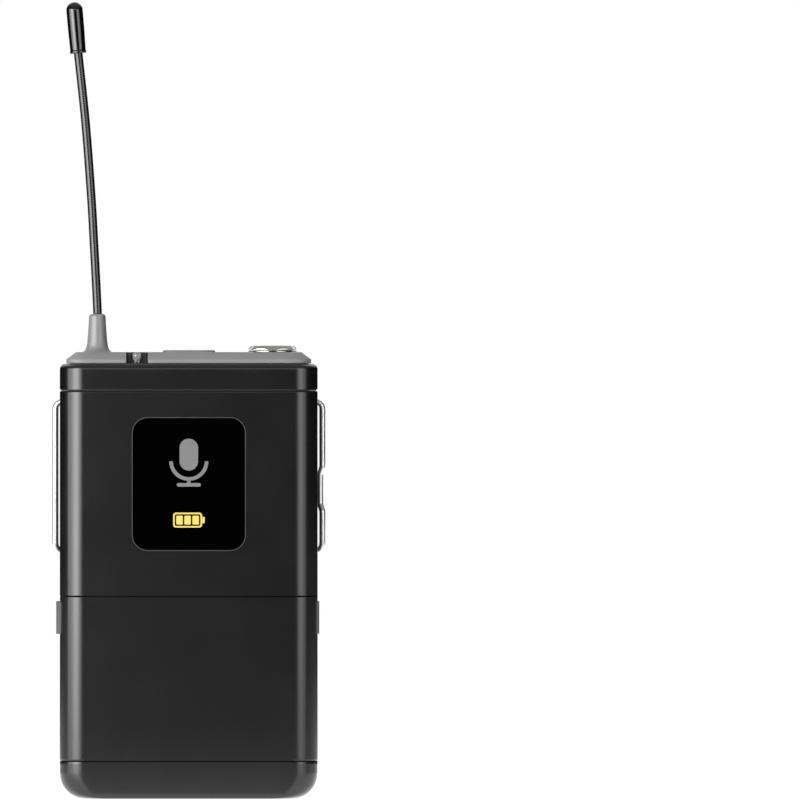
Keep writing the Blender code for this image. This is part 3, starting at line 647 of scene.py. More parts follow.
soften(front, 0.18)
place(front, "root", "case_black", ABS_BLACK, "front_cover")
print("front cover faces:", len(front.data.polygons))

# %% [markdown]
# ## The rear cover, collar and bottom cap
# The rear cover closes the case behind the parting line. The collar is a ring whose rim rolls over. The cap
# is a tray whose upper edge is hollowed to a trough for the door's round foot, with two swan-neck lugs for
# the pins.

# %% Rear cover
rear = half_shell("rear_cover_shell", spread(REAR_LOW.z, REAR_HIGH.z, 6), REAR_LOW.y, 1, COVER_EDGE_R)
for spot in SCREW_SPOTS:
    cut(rear, rod("sink", (spot.x, BACK_Y - 1.2, spot.z), (spot.x, BACK_Y + 2, spot.z), 2.35))
    cut(rear, rod("shank", (spot.x, BACK_Y - 4, spot.z), (spot.x, BACK_Y, spot.z), 1.2, 20))
LABEL_LOW, LABEL_HIGH = node_box("rear_label")
cut(
    rear,
    slab(
        "label_pocket",
        rounded((LABEL_LOW.x - 0.2, LABEL_LOW.z - 0.2), (LABEL_HIGH.x + 0.2, LABEL_HIGH.z + 0.2), 1.1),
        LABEL_LOW.y - 0.05, BACK_Y + 2, "Y",
    ),
)
CLIP_Y = 8.6
PIVOT_Z = 98.6
INNER_X = HALF_X - WALL
for side in (-1, 1):
    cut(rear, rod("clip_hole", (side * 26, CLIP_Y, PIVOT_Z), (side * 36, CLIP_Y, PIVOT_Z), 1.05))
for side in (-1, 1):
    strip_top = REAR_HIGH.z - 0.4
    low_x, high_x = sorted((side * (INNER_X + 0.1), side * (HALF_X - 0.5)))
    join(rear, box_piece("parting_strip", (low_x, -1.05, 10.0), (high_x, -0.5, strip_top), "Z", 0.05))
    # Above the door, a tongue laps over the parting line from inside, so no light shows through it.
    lap_top = REAR_HIGH.z - 0.8
    low_x, high_x = sorted((side * (INNER_X - 0.8), side * (INNER_X - 0.1)))
    join(rear, box_piece("parting_lap", (low_x, -2.6, 52.0), (high_x, 0.6, lap_top), "Z", 0.1))
    low_x, high_x = sorted((side * (INNER_X - 0.6), side * (INNER_X + 0.3)))
    join(rear, box_piece("lap_root", (low_x, -0.4, 52.2), (high_x, 0.5, lap_top - 0.2), "Z", 0.1))
soften(rear, 0.18)
place(rear, "root", "case_black", ABS_BLACK, "rear_cover")

# %% Collar
RIM_ANGLES = (0, 15, 30, 45, 60, 75, 88)
RIM_BASE = COLLAR_HIGH.z - RIM_R
rim_heights = [RIM_BASE + RIM_R * math.sin(math.radians(a)) for a in RIM_ANGLES]
outer = [full_section(z) for z in spread(COLLAR_BASE, RIM_BASE - 0.3, 2) + rim_heights]
inner = [full_section(z, WALL) for z in (COLLAR_HIGH.z, COLLAR_BASE)]
inner[0] = [(x, y, COLLAR_HIGH.z - 0.001) for x, y, z in inner[0]]
collar = loft("top_collar_shell", outer + inner, cap=None, loop=True)
soften(collar, 0.18)
TONGUE_WALL = 0.8
TONGUE_GAP = 0.15
SEAL_INSET = 0.3


def inner_ring(name, low_z, high_z, inset):
    """A thin ring inside the wall. It laps over a seam, so no light gets through."""
    inner = WALL + TONGUE_GAP + TONGUE_WALL
    outline = rounded((inset - HALF_X, inset - HALF_Y), (HALF_X - inset, HALF_Y - inset), CORNER_R - inset)
    hole = rounded((inner - HALF_X, inner - HALF_Y), (HALF_X - inner, HALF_Y - inner), CORNER_R - inner)
    return cut(slab(name, outline, low_z, high_z, "Z"), slab("ring_hole", hole, low_z - 1, high_z + 1, "Z"))


TONGUE_TOP = COLLAR_BASE + 1.35
collar_tongue = inner_ring("collar_tongue", COLLAR_BASE + 0.4, TONGUE_TOP, WALL - 0.3)
join(
    collar_tongue,
    inner_ring("seal", COLLAR_BASE - 0.28, COLLAR_BASE + 0.1, SEAL_INSET),
    inner_ring("lap", COLLAR_BASE - 1.6, TONGUE_TOP, WALL + TONGUE_GAP),
)
place(soften(collar_tongue, 0.05, 2), "root", "case_black", INNER_BLACK)
place(collar, "root", "case_black", ABS_BLACK, "top_collar")

# %% Hinge values
PIN_LOW, PIN_HIGH = node_box("hinge_pin_right")
HINGE = (PIN_LOW + PIN_HIGH) / 2
BARREL_R = HINGE.y - FRONT_Y
LUG_X = HINGE.x
PIN_R = (PIN_HIGH.z - PIN_LOW.z) / 2
LUG_R = 1.4
LUG_HALF = 1.3
LUG_BACK = -5.9
LUG_TOP = 10.9
FLOOR_Z = 1.6
CLEAR_GAP = 0.3
print(f"hinge at y {HINGE.y:.2f} z {HINGE.z:.2f}, foot radius {BARREL_R:.2f}")


def hinge_rod(name, radius, half_x, x=0.0, sides=48):
    return rod(name, (x - half_x, HINGE.y, HINGE.z), (x + half_x, HINGE.y, HINGE.z), radius, sides)


DOOR_EDGE_Z = CAP_TOP + 0.3
SWEEP_GAP = 0.1


def sweep_trough():
    """What the door's lower edge sweeps. It narrows with the round corners, so the seam stays level."""
    rings = []
    for x in (-31, -30, -29, -28, -27, -26, 26, 27, 28, 29, 30, 31):
        past = max(abs(x) - (HALF_X - CORNER_R), 0)
        forward = max(math.sqrt(CORNER_R ** 2 - past ** 2) + HALF_Y - CORNER_R + HINGE.y, 0)
        radius = math.hypot(forward, HINGE.z - DOOR_EDGE_Z) + SWEEP_GAP
        rings.append([(x, y, z) for y, z in arc((HINGE.y, HINGE.z), radius, 0, 354, 59)])
    return loft("trough", rings)


# %% Bottom cap
FOOT_ANGLES = (0, 6, 12, 18, 24, 30, 38, 46, 54, 62, 70, 80, 90)
SIDE_HEIGHTS = [6.6, 7.2, 7.8, 8.5, CAP_TOP]
INNER_HEIGHTS = [CAP_TOP, 6.5, 5.0, 3.6, 2.8, 2.2, 1.95]
foot_heights = [FOOT_R * (1 - math.cos(math.radians(a))) for a in FOOT_ANGLES]
outer = [full_section(z) for z in foot_heights + SIDE_HEIGHTS]
inner = [full_section(z, WALL) for z in INNER_HEIGHTS]
cap = loft("bottom_cap_shell", outer + inner)
cut(cap, sweep_trough())
for side in (-1, 1):
    low_x = side * LUG_X - LUG_HALF
    high_x = side * LUG_X + LUG_HALF
    lug = hinge_rod("eye", LUG_R, LUG_HALF, side * LUG_X, 32)
    join(
        lug,
        box_piece("arm", (low_x, HINGE.y, 9.7), (high_x, LUG_BACK, LUG_TOP), "X", 0.3),
        box_piece("post", (low_x, LUG_BACK - 1.2, FLOOR_Z), (high_x, LUG_BACK, LUG_TOP), "X", 0.3),
    )
    cut(lug, hinge_rod("pin_bore", PIN_R + 0.1, 3, side * LUG_X, 24))
    join(cap, lug)
LAP_TOP = CAP_TOP + 0.9
tongue = inner_ring("tongue", CAP_TOP - 1.3, LAP_TOP, WALL + TONGUE_GAP)
join(
    tongue,
    inner_ring("step", CAP_TOP - 1.3, CAP_TOP - 0.1, WALL - 0.3),
    inner_ring("seal", CAP_TOP - 0.1, CAP_TOP + 0.22, SEAL_INSET),
)
cut(tongue, box_piece("front_half", (-THROUGH, -20, 0), (THROUGH, -0.7, 20)))
for side in (-1, 1):
    low_x, high_x = sorted((side * 26.6, side * 27.8))
    join(tongue, box_piece("rib", (low_x, -5.4, FLOOR_Z), (high_x, 9.0, LAP_TOP), "X", 0.2))
join(cap, tongue)
soften(cap, 0.15)
place(cap, "root", "case_black", ABS_BLACK, "bottom_cap")

# %% [markdown]
# ## The battery door
# The door is cut from the same sections as the case. It has a round foot about the hinge, hidden behind the
# rim of the cap, and an upper edge that is an arc about the hinge. Both let it swing past its neighbours
# with a thin seam.

# %% Battery door
DOOR_TOP = 50.1
DOOR_BASE = 7.0
reach = DOOR_TOP - HINGE.z
ahead = FRONT_Y - 1
foot_start = 180 + math.degrees(math.asin((HINGE.z - DOOR_EDGE_Z) / BARREL_R))
foot = arc((HINGE.y, HINGE.z), BARREL_R, foot_start, 270, 16)
foot += [(HINGE.y + 0.1, DOOR_EDGE_Z), (FRONT_END_Y, DOOR_EDGE_Z)]
start = math.degrees(math.acos((FRONT_END_Y - HINGE.y) / reach))
end = math.degrees(math.acos((ahead - HINGE.y) / reach))
side_view = foot + arc((HINGE.y, HINGE.z), reach, start, end, 12) + [(ahead, DOOR_EDGE_Z)]
door_heights = [DOOR_BASE, 9.9, 10.4] + spread(11.0, 51.5, 6)
door = half_shell("battery_door_shell", door_heights, FRONT_END_Y, -1)
combine(door, "INTERSECT", slab("side_view", side_view, -THROUGH, THROUGH, "X"))
join(door, hinge_rod("barrel", BARREL_R - 0.005, 25.3))
for side in (-1, 1):
    x = side * LUG_X
    low_x = x - LUG_HALF - CLEAR_GAP
    high_x = x + LUG_HALF + CLEAR_GAP
    tab_x = sorted((side * 25, side * 36))
    corner_x = sorted((side * 25.7, side * 36))
    cut(
        door,
        hinge_rod("lug_room", LUG_R + CLEAR_GAP, LUG_HALF + CLEAR_GAP, x, 32),
        box_piece("lug_back", (low_x, HINGE.y, 7.5), (high_x, -4, 12.6), "X", 0.1),
        box_piece("lug_under", (low_x, -12, 7.5), (high_x, -4, 9.05), "X", 0.1),
        hinge_rod("pin_bore", PIN_R + 0.1, 3.4, x, 24),
        box_piece("corner_foot", (corner_x[0], -12, 6.0), (corner_x[1], 0, DOOR_EDGE_Z), "X", 0.05),
        box_piece("tab_slot", (tab_x[0], -7.25, 40.65), (tab_x[1], -2.35, 49.3), "X", 0.6),
    )
soften(door, 0.18)
place(door, "door", "case_black", ABS_BLACK, "battery_door")
print("door faces:", len(door.data.polygons))

# %% [markdown]
# Release tabs stand proud of the door's sides. Real ones carry fine upright ribs so that a thumb doesn't
# slip, and the ribs are cut here as grooves 0.8 mm apart.

# %% Release tabs and pad
for side, name in ((-1, "left"), (1, "right")):
    low, high = node_box("release_tab_" + name)
    key_low, key_high = sorted((side * 29.4, high.x if side > 0 else low.x))
    tab = box_piece("release_tab_key_" + name, (key_low, -7.0, 40.9), (key_high, -2.6, 49.05), "X", 0.6)
    flange_x = sorted((side * 28.3, side * 29.6))
    join(tab, box_piece("flange", (flange_x[0], -6.9, 42.4), (flange_x[1], -1.8, 49.7), "X", 0.3))
    face_x = key_high if side > 0 else key_low
    for i in range(5):
        y = -6.4 + 0.8 * i
        cut(tab, rod("groove", (face_x + side * 0.12, y, 41.6), (face_x + side * 0.12, y, 48.4), 0.24, 12))
    soften(tab, 0.1, 2, 50)
    place(tab, "tab_" + name, "tab_grey", TAB_GREY, "release_tab_" + name)

pad_low, pad_high = node_box("door_pad")
pad_gap = Vector((0.1, 0, 0.1))
pad = box_piece("door_foam_pad", pad_low + pad_gap, pad_high - pad_gap, "Y", 1.6)
soften(pad, 0.5, 4)
place(pad, "door", "foam", FOAM, "door_pad")

# %% [markdown]
# ## The front panel and its printing
# The panel is a flat acrylic inlay with a polished edge. The printing is a sign of our own: a microphone on
# its stand, and under it a battery sign with upright bars. Each is real geometry, a few hundredths thick
# like ink.

# %% Panel
PANEL_R = 4.0
panel_edge = rounded(WINDOW_LOW.xz, WINDOW_HIGH.xz, PANEL_R, 14)
panel = slab("front_panel", panel_edge, WINDOW_LOW.y, WINDOW_HIGH.y, "Y")
soften(panel, 0.12, 3)
place(panel, "root", "window_black", ACRYLIC, "window")

PRINT_BACK = WINDOW_LOW.y - 0.005
PRINT_FRONT = WINDOW_LOW.y - 0.04
PANEL_X = (WINDOW_LOW.x + WINDOW_HIGH.x) / 2
SIGN_Z = 83.4
BADGE_Z = 69.2
KEYLINE_W = 0.26


def printed(name, outline, material):
    mark = slab(name, [(PANEL_X + x, z) for x, z in outline], PRINT_FRONT, PRINT_BACK, "Y")
    return place(mark, "root", "window_black", material)


def ring_band(centre_z, radius, width, start, end, steps=24):
    """An open band along an arc, with square ends."""
    outer_arc = arc((0, centre_z), radius + width / 2, start, end, steps)
    inner_arc = arc((0, centre_z), radius - width / 2, start, end, steps)
    return outer_arc + inner_arc[::-1]


keyline = slab("panel_keyline", panel_edge, PRINT_FRONT, PRINT_BACK, "Y")
edge = Vector((KEYLINE_W, KEYLINE_W))
inside = rounded(WINDOW_LOW.xz + edge, WINDOW_HIGH.xz - edge, PANEL_R - KEYLINE_W, 14)
cut(keyline, slab("keyline_inside", inside, PRINT_FRONT - 1, PRINT_BACK + 0.2, "Y"))
place(keyline, "root", "window_black", INK_DARK)
printed("sign_capsule", rounded((-2.3, SIGN_Z - 1.9), (2.3, SIGN_Z + 6.0), 2.29, 12), INK_GREY)
printed("sign_cradle", ring_band(SIGN_Z + 0.4, 4.4, 0.9, 180, 360), INK_GREY)
STEM_LOW = SIGN_Z - 5.0
STEM_HIGH = SIGN_Z - 4.5
stem = [(-0.45, STEM_LOW), (0.45, STEM_LOW), (0.45, STEM_HIGH), (-0.45, STEM_HIGH)]
printed("sign_stem", stem, INK_GREY)
printed("sign_base", rounded((-3.0, SIGN_Z - 5.9), (3.0, SIGN_Z - 5.0), 0.44, 6), INK_GREY)
battery_edge = rounded((-3.9, BADGE_Z - 1.85), (3.3, BADGE_Z + 1.85), 0.7, 6)
battery_edge = [(PANEL_X + x, z) for x, z in battery_edge]
battery = slab("badge_battery_case", battery_edge, PRINT_FRONT, PRINT_BACK, "Y")
inside = rounded((PANEL_X - 3.5, BADGE_Z - 1.45), (PANEL_X + 2.9, BADGE_Z + 1.45), 0.4, 4)
cut(battery, slab("badge_inside", inside, PRINT_FRONT - 1, PRINT_BACK + 0.2, "Y"))
place(battery, "root", "window_black", INK_YELLOW)
printed("badge_battery_pole", rounded((3.35, BADGE_Z - 0.8), (3.95, BADGE_Z + 0.8), 0.2, 3), INK_YELLOW)
for i in range(3):
    x = -3.1 + 2.0 * i
    printed(f"badge_bar_{i + 1}", rounded((x, BADGE_Z - 1.1), (x + 1.6, BADGE_Z + 1.1), 0.2, 3), INK_YELLOW)

# %% [markdown]
# ## The top panel
# A grey moulding: an upright band all round, then a broad bevel up to a flat. Its sections are listed from
# the underside up, with a small radius at each change, then the holes are cut and their edges softened.

# %% Top panel
PLATE_HIGH = node_box("top_plate")[1]
PLATE_X = PLATE_HIGH.x
PLATE_Y = PLATE_HIGH.y
PLATE_R = 4.5
PLATE_BASE = 108.1
PLATEAU = 110.9
SOCKET_LOW, SOCKET_HIGH = node_box("socket_shell")
SOCKET = (SOCKET_LOW + SOCKET_HIGH) / 2
FERRULE_LOW, FERRULE_HIGH = node_box("antenna_ferrule")
ANTENNA_X = (FERRULE_LOW.x + FERRULE_HIGH.x) / 2
HOLDER_LOW, HOLDER_HIGH = node_box("led_holder")
LED_X = (HOLDER_LOW.x + HOLDER_HIGH.x) / 2


def plate_ring(z, inset):
    corner = Vector((PLATE_X - inset, PLATE_Y - inset))
    return [(x, y, z) for x, y in rounded(-corner, corner, PLATE_R - min(inset, 1.6), 12)]


profile = [(0.0, 0.15), (0.08, 0.04), (0.2, 0.0), (0.85, 0.0), (1.0, 0.04), (1.12, 0.16)]
profile += [(2.62, 2.14), (2.74, 2.3), (2.8, 2.5)]
plate = loft("top_panel", [plate_ring(PLATE_BASE + z, inset) for z, inset in profile])
skirt = slab("skirt", rounded((-29.5, -9.0), (29.5, 9.0), 3.2), 105.5, PLATE_BASE + 0.5, "Z")
cut(skirt, slab("skirt_inside", rounded((-28.2, -7.7), (28.2, 7.7), 2.0), 104, PLATE_BASE, "Z"))
join(plate, skirt)
plinth = []
for z, inset in ((110.2, 0.0), (PLATEAU + 0.08, 0.0), (PLATE_HIGH.z - 0.1, 0.16), (PLATE_HIGH.z, 0.34)):
    outline = rounded((inset - 6.5, inset - 3.3), (6.6 - inset, 3.3 - inset), 3.25 - inset, 16)
    plinth.append([(x, y, z) for x, y in outline])
join(plate, loft("plinth", plinth))
cut(
    plate,
    slab("switch_recess", rounded((-5.0, -1.85), (5.0, 1.85), 1.2), 109.6, 113, "Z"),
    slab("switch_slot", rounded((-3.3, -0.8), (3.3, 0.8), 0.3), 104, 112, "Z"),
    rod("socket_hole", (SOCKET.x, 0, 100), (SOCKET.x, 0, 115), 5.1, 48),
    rod("antenna_hole", (ANTENNA_X, 0, 100), (ANTENNA_X, 0, 115), 2.6, 32),
    box_piece("led_notch", (LED_X - 2.7, -12, 104), (LED_X + 2.7, -6.3, 113), "Z", 0.1),
)
soften(plate, 0.12, 3, 40)
place(plate, "root", "panel_grey", ABS_GREY, "top_plate")

# %% [markdown]
# The switch knob carries five ridges across its travel. The lamp sits in a black holder with fine upright
# ribs, which stop it from lighting the panel. Its lens is a small tulip: a narrow foot with two bright lead
# posts, then a round body.

# %% Switch knob
KNOB_LOW, KNOB_HIGH = node_box("switch_knob")
ridges = [(KNOB_LOW.x, 109.9), (KNOB_HIGH.x, 109.9)]
RIDGES = 5
for i in range(RIDGES):
    left = KNOB_HIGH.x - (i + 0.5) * (KNOB_HIGH.x - KNOB_LOW.x) / RIDGES
    ridges += [(left + 0.42, KNOB_HIGH.z - 0.5), (left + 0.2, KNOB_HIGH.z), (left - 0.2, KNOB_HIGH.z)]
    ridges += [(left - 0.42, KNOB_HIGH.z - 0.5)]
knob = slab("switch_knob_ridged", ridges, KNOB_LOW.y, KNOB_HIGH.y, "Y")
join(knob, box_piece("stem", (-0.9, -0.5, KNOB_LOW.z), (0.9, 0.5, 110.2), "Z", 0.1))
soften(knob, 0.08, 2, 30)
place(knob, "switch", "knob_black", INNER_BLACK, "switch_knob")

# %% Lamp holder and lens
RIBS = 8
GROOVE_Y = -7.4
RIB_Y = -7.75
ribs = [(HOLDER_HIGH.x, HOLDER_HIGH.y), (HOLDER_LOW.x, HOLDER_HIGH.y), (HOLDER_LOW.x, GROOVE_Y)]
pitch = (HOLDER_HIGH.x - HOLDER_LOW.x) / RIBS
for i in range(RIBS):
    x = HOLDER_LOW.x + i * pitch
    for share, y in ((0.2, GROOVE_Y), (0.35, RIB_Y), (0.65, RIB_Y), (0.8, GROOVE_Y)):
        ribs.append((x + pitch * share, y))
ribs.append((HOLDER_HIGH.x, GROOVE_Y))
holder = slab("lamp_holder", ribs, 108.0, HOLDER_HIGH.z, "Z")
join(holder, box_piece("holder_foot", HOLDER_LOW, (HOLDER_HIGH.x, HOLDER_HIGH.y, 108.2), "Z", 0.2))
soften(holder, 0.06, 2, 30)
place(holder, "root", "inner_black", INNER_BLACK, "led_holder")

LENS_LOW, LENS_HIGH = node_box("led_lens")
lens_at = ((LENS_LOW.x + LENS_HIGH.x) / 2, (LENS_LOW.y + LENS_HIGH.y) / 2, LENS_LOW.z)
height = LENS_HIGH.z - LENS_LOW.z
tulip = [(0, height)] + shoulder(0, 1.13, height, 0.75, range(15, 91, 15))
tulip += [(1.12, height - 0.95), (1.05, height - 1.25), (0.9, height - 1.55), (0.76, height - 1.85)]
tulip += [(0.7, 0.06), (0.6, 0), (0, 0)]
lens = turned("lamp_lens", tulip, lens_at, 32)
smooth(lens, 60)
place(lens, "root", "led_clear", CLEAR, "led_lens")
for side in (-1, 1):
    post_x = lens_at[0] + side * 0.42
    post = turned(
        "lamp_lead_left" if side < 0 else "lamp_lead_right",
        [(0, 1.05), (0.14, 1.02), (0.2, 0.9), (0.2, 0.1), (0.15, 0.0), (0, 0.0)],
        (post_x, lens_at[1] - 0.1, 108.22), 16,
    )
    smooth(post)
    place(post, "root", "shield_metal", TINNED)
print("lamp at", [round(v, 2) for v in lens_at])

# %% [markdown]
# ## The socket
# A threaded tube comes up through the panel and is held by a hexagonal nut on a washer. The nut's chamfer
# is the curve where a cone meets six flats, so its rings are worked out from both: a corner drops further
# than a flat.

# %% Socket
NUT_LOW, NUT_HIGH = node_box("socket_nut")
ACROSS = NUT_HIGH.x - NUT_LOW.x
SHELL_R = 4.95
BORE_R = 4.25


def nut_ring(radius_at, height_at):
    ring = []
    for i in range(96):
        angle = math.tau * i / 96
        radius = radius_at(angle)
        ring.append((SOCKET.x + radius * math.cos(angle), radius * math.sin(angle), height_at(radius)))
    return ring


def hexagon(angle):
    """Radius of the hexagon, with flats towards +X and -X."""
    return ACROSS / 2 / math.cos((angle + math.pi / 6) % (math.pi / 3) - math.pi / 6)


CHAMFER_R = 5.25
CHAMFER_SLOPE = 1.05
rings = [
    nut_ring(lambda a: 5.07, lambda r: NUT_LOW.z),
    nut_ring(lambda a: 5.07, lambda r: NUT_HIGH.z - 0.1),
    nut_ring(lambda a: 5.17, lambda r: NUT_HIGH.z),
    nut_ring(lambda a: CHAMFER_R, lambda r: NUT_HIGH.z),
    nut_ring(hexagon, lambda r: max(NUT_HIGH.z - (r - CHAMFER_R) * CHAMFER_SLOPE, NUT_LOW.z + 0.03)),
    nut_ring(hexagon, lambda r: NUT_LOW.z),
]
nut = loft("socket_nut_hexagonal", rings, cap=None, loop=True)
soften(nut, 0.07, 2, 25)
place(nut, "root", "bright_metal", NICKEL, "socket_nut")

washer_low, washer_high = node_box("socket_washer")
WASHER_R = 6.0
WASHER_BORE = 5.1
thick = washer_high.z - washer_low.z
washer = [(WASHER_R - 0.06, thick), (WASHER_R, thick - 0.06), (WASHER_R, 0.04), (WASHER_R - 0.05, 0)]
washer += [(WASHER_BORE, 0), (WASHER_BORE, thick)]
place(
    smooth(turned("socket_washer_turned", washer, (SOCKET.x, 0, washer_low.z), 64)),
    "root", "bright_metal", NICKEL, "socket_washer",
)
thread = [(BORE_R, SOCKET_LOW.z), (SHELL_R, SOCKET_LOW.z), (SHELL_R, 105.2), (6.3, 105.2), (6.3, 107.8)]
for i in range(9):
    z = 107.9 + 0.5 * i
    thread += [(SHELL_R - 0.22, z), (SHELL_R, z + 0.2), (SHELL_R, z + 0.3), (SHELL_R - 0.22, z + 0.49)]
thread += [(SHELL_R - 0.25, SOCKET_HIGH.z - 0.05), (SHELL_R - 0.3, SOCKET_HIGH.z)]
thread += [(BORE_R + 0.12, SOCKET_HIGH.z), (BORE_R, SOCKET_HIGH.z - 0.15)]
place(
    smooth(turned("socket_shell_threaded", thread, (SOCKET.x, 0, 0), 64), 30),
    "root", "bright_metal", NICKEL, "socket_shell",
)
for i in range(3):
    low, high = node_box(f"socket_pin_{i + 1}")
    middle = (low + high) / 2
    top = high.z - low.z
    pin = [(0, top), (0.22, top - 0.03), (0.4, top - 0.16), (0.49, top - 0.4), (0.5, top - 0.7)]
    pin += [(0.5, 0.05), (0, 0)]
    pin = turned(f"socket_pin_round_{i + 1}", pin, (middle.x, middle.y, low.z), 20)
    place(smooth(pin), "root", "gold_contact", GOLD, f"socket_pin_{i + 1}")

# %% [markdown]
# ## The antenna
# The whip is a close-wound coil in a tight sleeve, so the sleeve shows a fine helix. The tube is swept
# along a smooth curve through the frame's own route, and its radius is dented by a shallow helical groove.
# The real pitch is about 0.6 mm.

# %% Antenna boot
BOOT_TOP = node_box("antenna_boot")[1].z
boot = [(1.25, BOOT_TOP - 0.1), (1.32, BOOT_TOP)]
boot += shoulder(1.37, 0.7, BOOT_TOP, 0.75, range(12, 91, 13))
boot += [(2.14, 118.0), (2.3, 115.8), (2.45, 113.8), (2.6, 112.6), (2.76, 112.0)]
boot += [(2.98, 111.55), (3.25, 111.22), (3.5, 111.03), (3.6, PLATEAU + 0.01), (1.25, PLATEAU + 0.01)]
boot = turned("antenna_boot_moulded", boot, (ANTENNA_X, 0, 0), 48)
place(smooth(boot, 50), "root", "boot_grey", ELASTOMER, "antenna_boot")

# %% Antenna whip
ROUTE = [(-22.75, 105.6), (-22.75, 113.0), (-22.7, 120.4), (-23.6, 138.2), (-24.3, 150.1), (-25.7, 168.2)]
ROUTE += [(-27.5, 185.2), (-27.9, 190.0)]
WHIP_R = 1.1
COIL_PITCH = 0.6
GROOVE = 0.035
RING_STEP = 0.12


def smooth_route(points, step):
    """Evenly spaced points on a smooth curve through the given (x, z) points."""
    fine = []
    for i in range(len(points) - 1):
        before = Vector(points[max(i - 1, 0)])
        a = Vector(points[i])
        b = Vector(points[i + 1])
        after = Vector(points[min(i + 2, len(points) - 1)])
        count = max(2, round((b - a).length / step))
        for k in range(count):
            t = k / count
            fine.append(
                0.5 * (2 * a + (b - before) * t + (2 * before - 5 * a + 4 * b - after) * t ** 2
                       + (3 * a - before - 3 * b + after) * t ** 3)
            )
    fine.append(Vector(points[-1]))
    return fine


route = smooth_route(ROUTE, RING_STEP)
rings = []
travel = 0.0
for i, point in enumerate(route):
    ahead = route[min(i + 1, len(route) - 1)] - route[max(i - 1, 0)]
    ahead.normalize()
    across = Vector((ahead.y, -ahead.x))
    if i:
        travel += (point - route[i - 1]).length
    ring = []
    for k in range(20):
        angle = math.tau * k / 20
        phase = angle - math.tau * travel / COIL_PITCH
        radius = WHIP_R - GROOVE * (0.5 + 0.5 * math.cos(phase)) ** 3
        side = point + across * radius * math.cos(angle)
        ring.append((side.x, radius * math.sin(angle), side.y))
    rings.append(ring)
whip = loft("antenna_whip_sleeve", rings)
whip.data.shade_smooth()
place(whip, "root", "whip_black", SLEEVE, "antenna_whip")
print(f"whip: {len(rings)} rings over {travel:.1f} mm")

# %% Antenna tip
TIP_LENGTH = 12.8
TIP_R = 2.05
TIP_FOOT = (-27.5, 0, 185.2)
TIP_LEAN = math.degrees(math.atan2(-1.1, TIP_LENGTH))
tip = [(0, TIP_LENGTH)] + shoulder(0, TIP_R, TIP_LENGTH, TIP_R, range(10, 91, 10))
tip += [(2.04, 6.0), (1.93, 1.0), (1.93, 0.75), (2.0, 0.62), (2.02, 0.4), (2.0, 0.1), (1.9, 0.0)]
tip += [(1.35, 0.0), (1.3, 0.1), (1.3, 6.5), (0, 6.5)]
tip = turned("antenna_tip_cap", tip, (0, 0, 0), 40)
turn_and_move(tip, TIP_LEAN, "Y", TIP_FOOT)
place(smooth(tip, 50), "root", "tip_black", GLOSS_BLACK, "antenna_tip")

# %% [markdown]
# ## The belt clip
# One length of 1.5 mm spring wire. Its two ends turn into holes in the rear cover, its sides run down the
# case with a crimp on the right, and at the shoulders it turns behind the case and forms the tongue that
# holds a belt.

# %% Belt clip
WIRE_R = 0.75
CLIP_LEFT = -33.3
CLIP_RIGHT = 33.15
WIRE_END = 28.4
CRIMP_X = 32.6
CRIMP_Y = 9.5
SHOULDER_Z = 61.6
TONGUE_Y = 17.6
TONGUE_HALF = 12.0
TONGUE_TIP_Z = 14.0


def clip_corners():
    """Corner points and bend radii of the wire, from the right hole round to the left one."""
    right = [
        ((WIRE_END, CLIP_Y, PIVOT_Z), 0),
        ((CLIP_RIGHT, CLIP_Y, PIVOT_Z), 1.9),
        ((CLIP_RIGHT, CLIP_Y, 82.3), 1.2),
        ((CRIMP_X, CRIMP_Y, 80.6), 1.2),
        ((CRIMP_X, CRIMP_Y, 73.0), 1.2),
        ((CLIP_RIGHT, CLIP_Y, 71.3), 1.2),
    ]
    left = [((-WIRE_END, CLIP_Y, PIVOT_Z), 0), ((CLIP_LEFT, CLIP_Y, PIVOT_Z), 1.9)]
    lower = []
    for side, x in ((1, CLIP_RIGHT), (-1, CLIP_LEFT)):
        lower.append([
            ((x, CLIP_Y, SHOULDER_Z), 1.9),
            ((side * 29.5, 13.4, SHOULDER_Z), 2.5),
            ((side * (TONGUE_HALF + 3), TONGUE_Y, SHOULDER_Z), 3.0),
            ((side * TONGUE_HALF, TONGUE_Y, SHOULDER_Z - 8), 3.0),
            ((side * TONGUE_HALF, TONGUE_Y - 0.6, TONGUE_TIP_Z + 8), 3.0),
            ((side * TONGUE_HALF, TONGUE_Y + 1.6, TONGUE_TIP_Z), 4.0),
        ])
    return right + lower[0] + lower[1][::-1] + left[::-1]


def bend(before, corner, after, radius, count=9):
    """Points round a bend between two straight runs."""
    into = (Vector(before) - Vector(corner)).normalized()
    out = (Vector(after) - Vector(corner)).normalized()
    half = into.angle(out) / 2
    centre = Vector(corner) + (into + out).normalized() * radius / math.sin(half)
    start = Vector(corner) + into * radius / math.tan(half) - centre
    end = Vector(corner) + out * radius / math.tan(half) - centre
    sweep = start.angle(end)
    points = []
    for i in range(count + 1):
        t = i / count
        spoke = start * math.sin((1 - t) * sweep) + end * math.sin(t * sweep)
        points.append(centre + spoke / math.sin(sweep))
    return points


def swept(name, points, radius, sides=20):
    """A round wire with domed ends along a route, its sections carried without twist."""
    rings = []
    circle = arc((0, 0), 1, 0, 360, sides)[:-1]
    across = (points[1] - points[0]).normalized().orthogonal().normalized()
    for i, point in enumerate(points):
        run = (points[min(i + 1, len(points) - 1)] - points[max(i - 1, 0)]).normalized()
        across = (across - run * across.dot(run)).normalized()
        other = run.cross(across)
        size = radius * (0.72 if i in (0, len(points) - 1) else 1.0)
        rings.append([point + across * x * size + other * y * size for x, y in circle])
    return loft(name, rings)


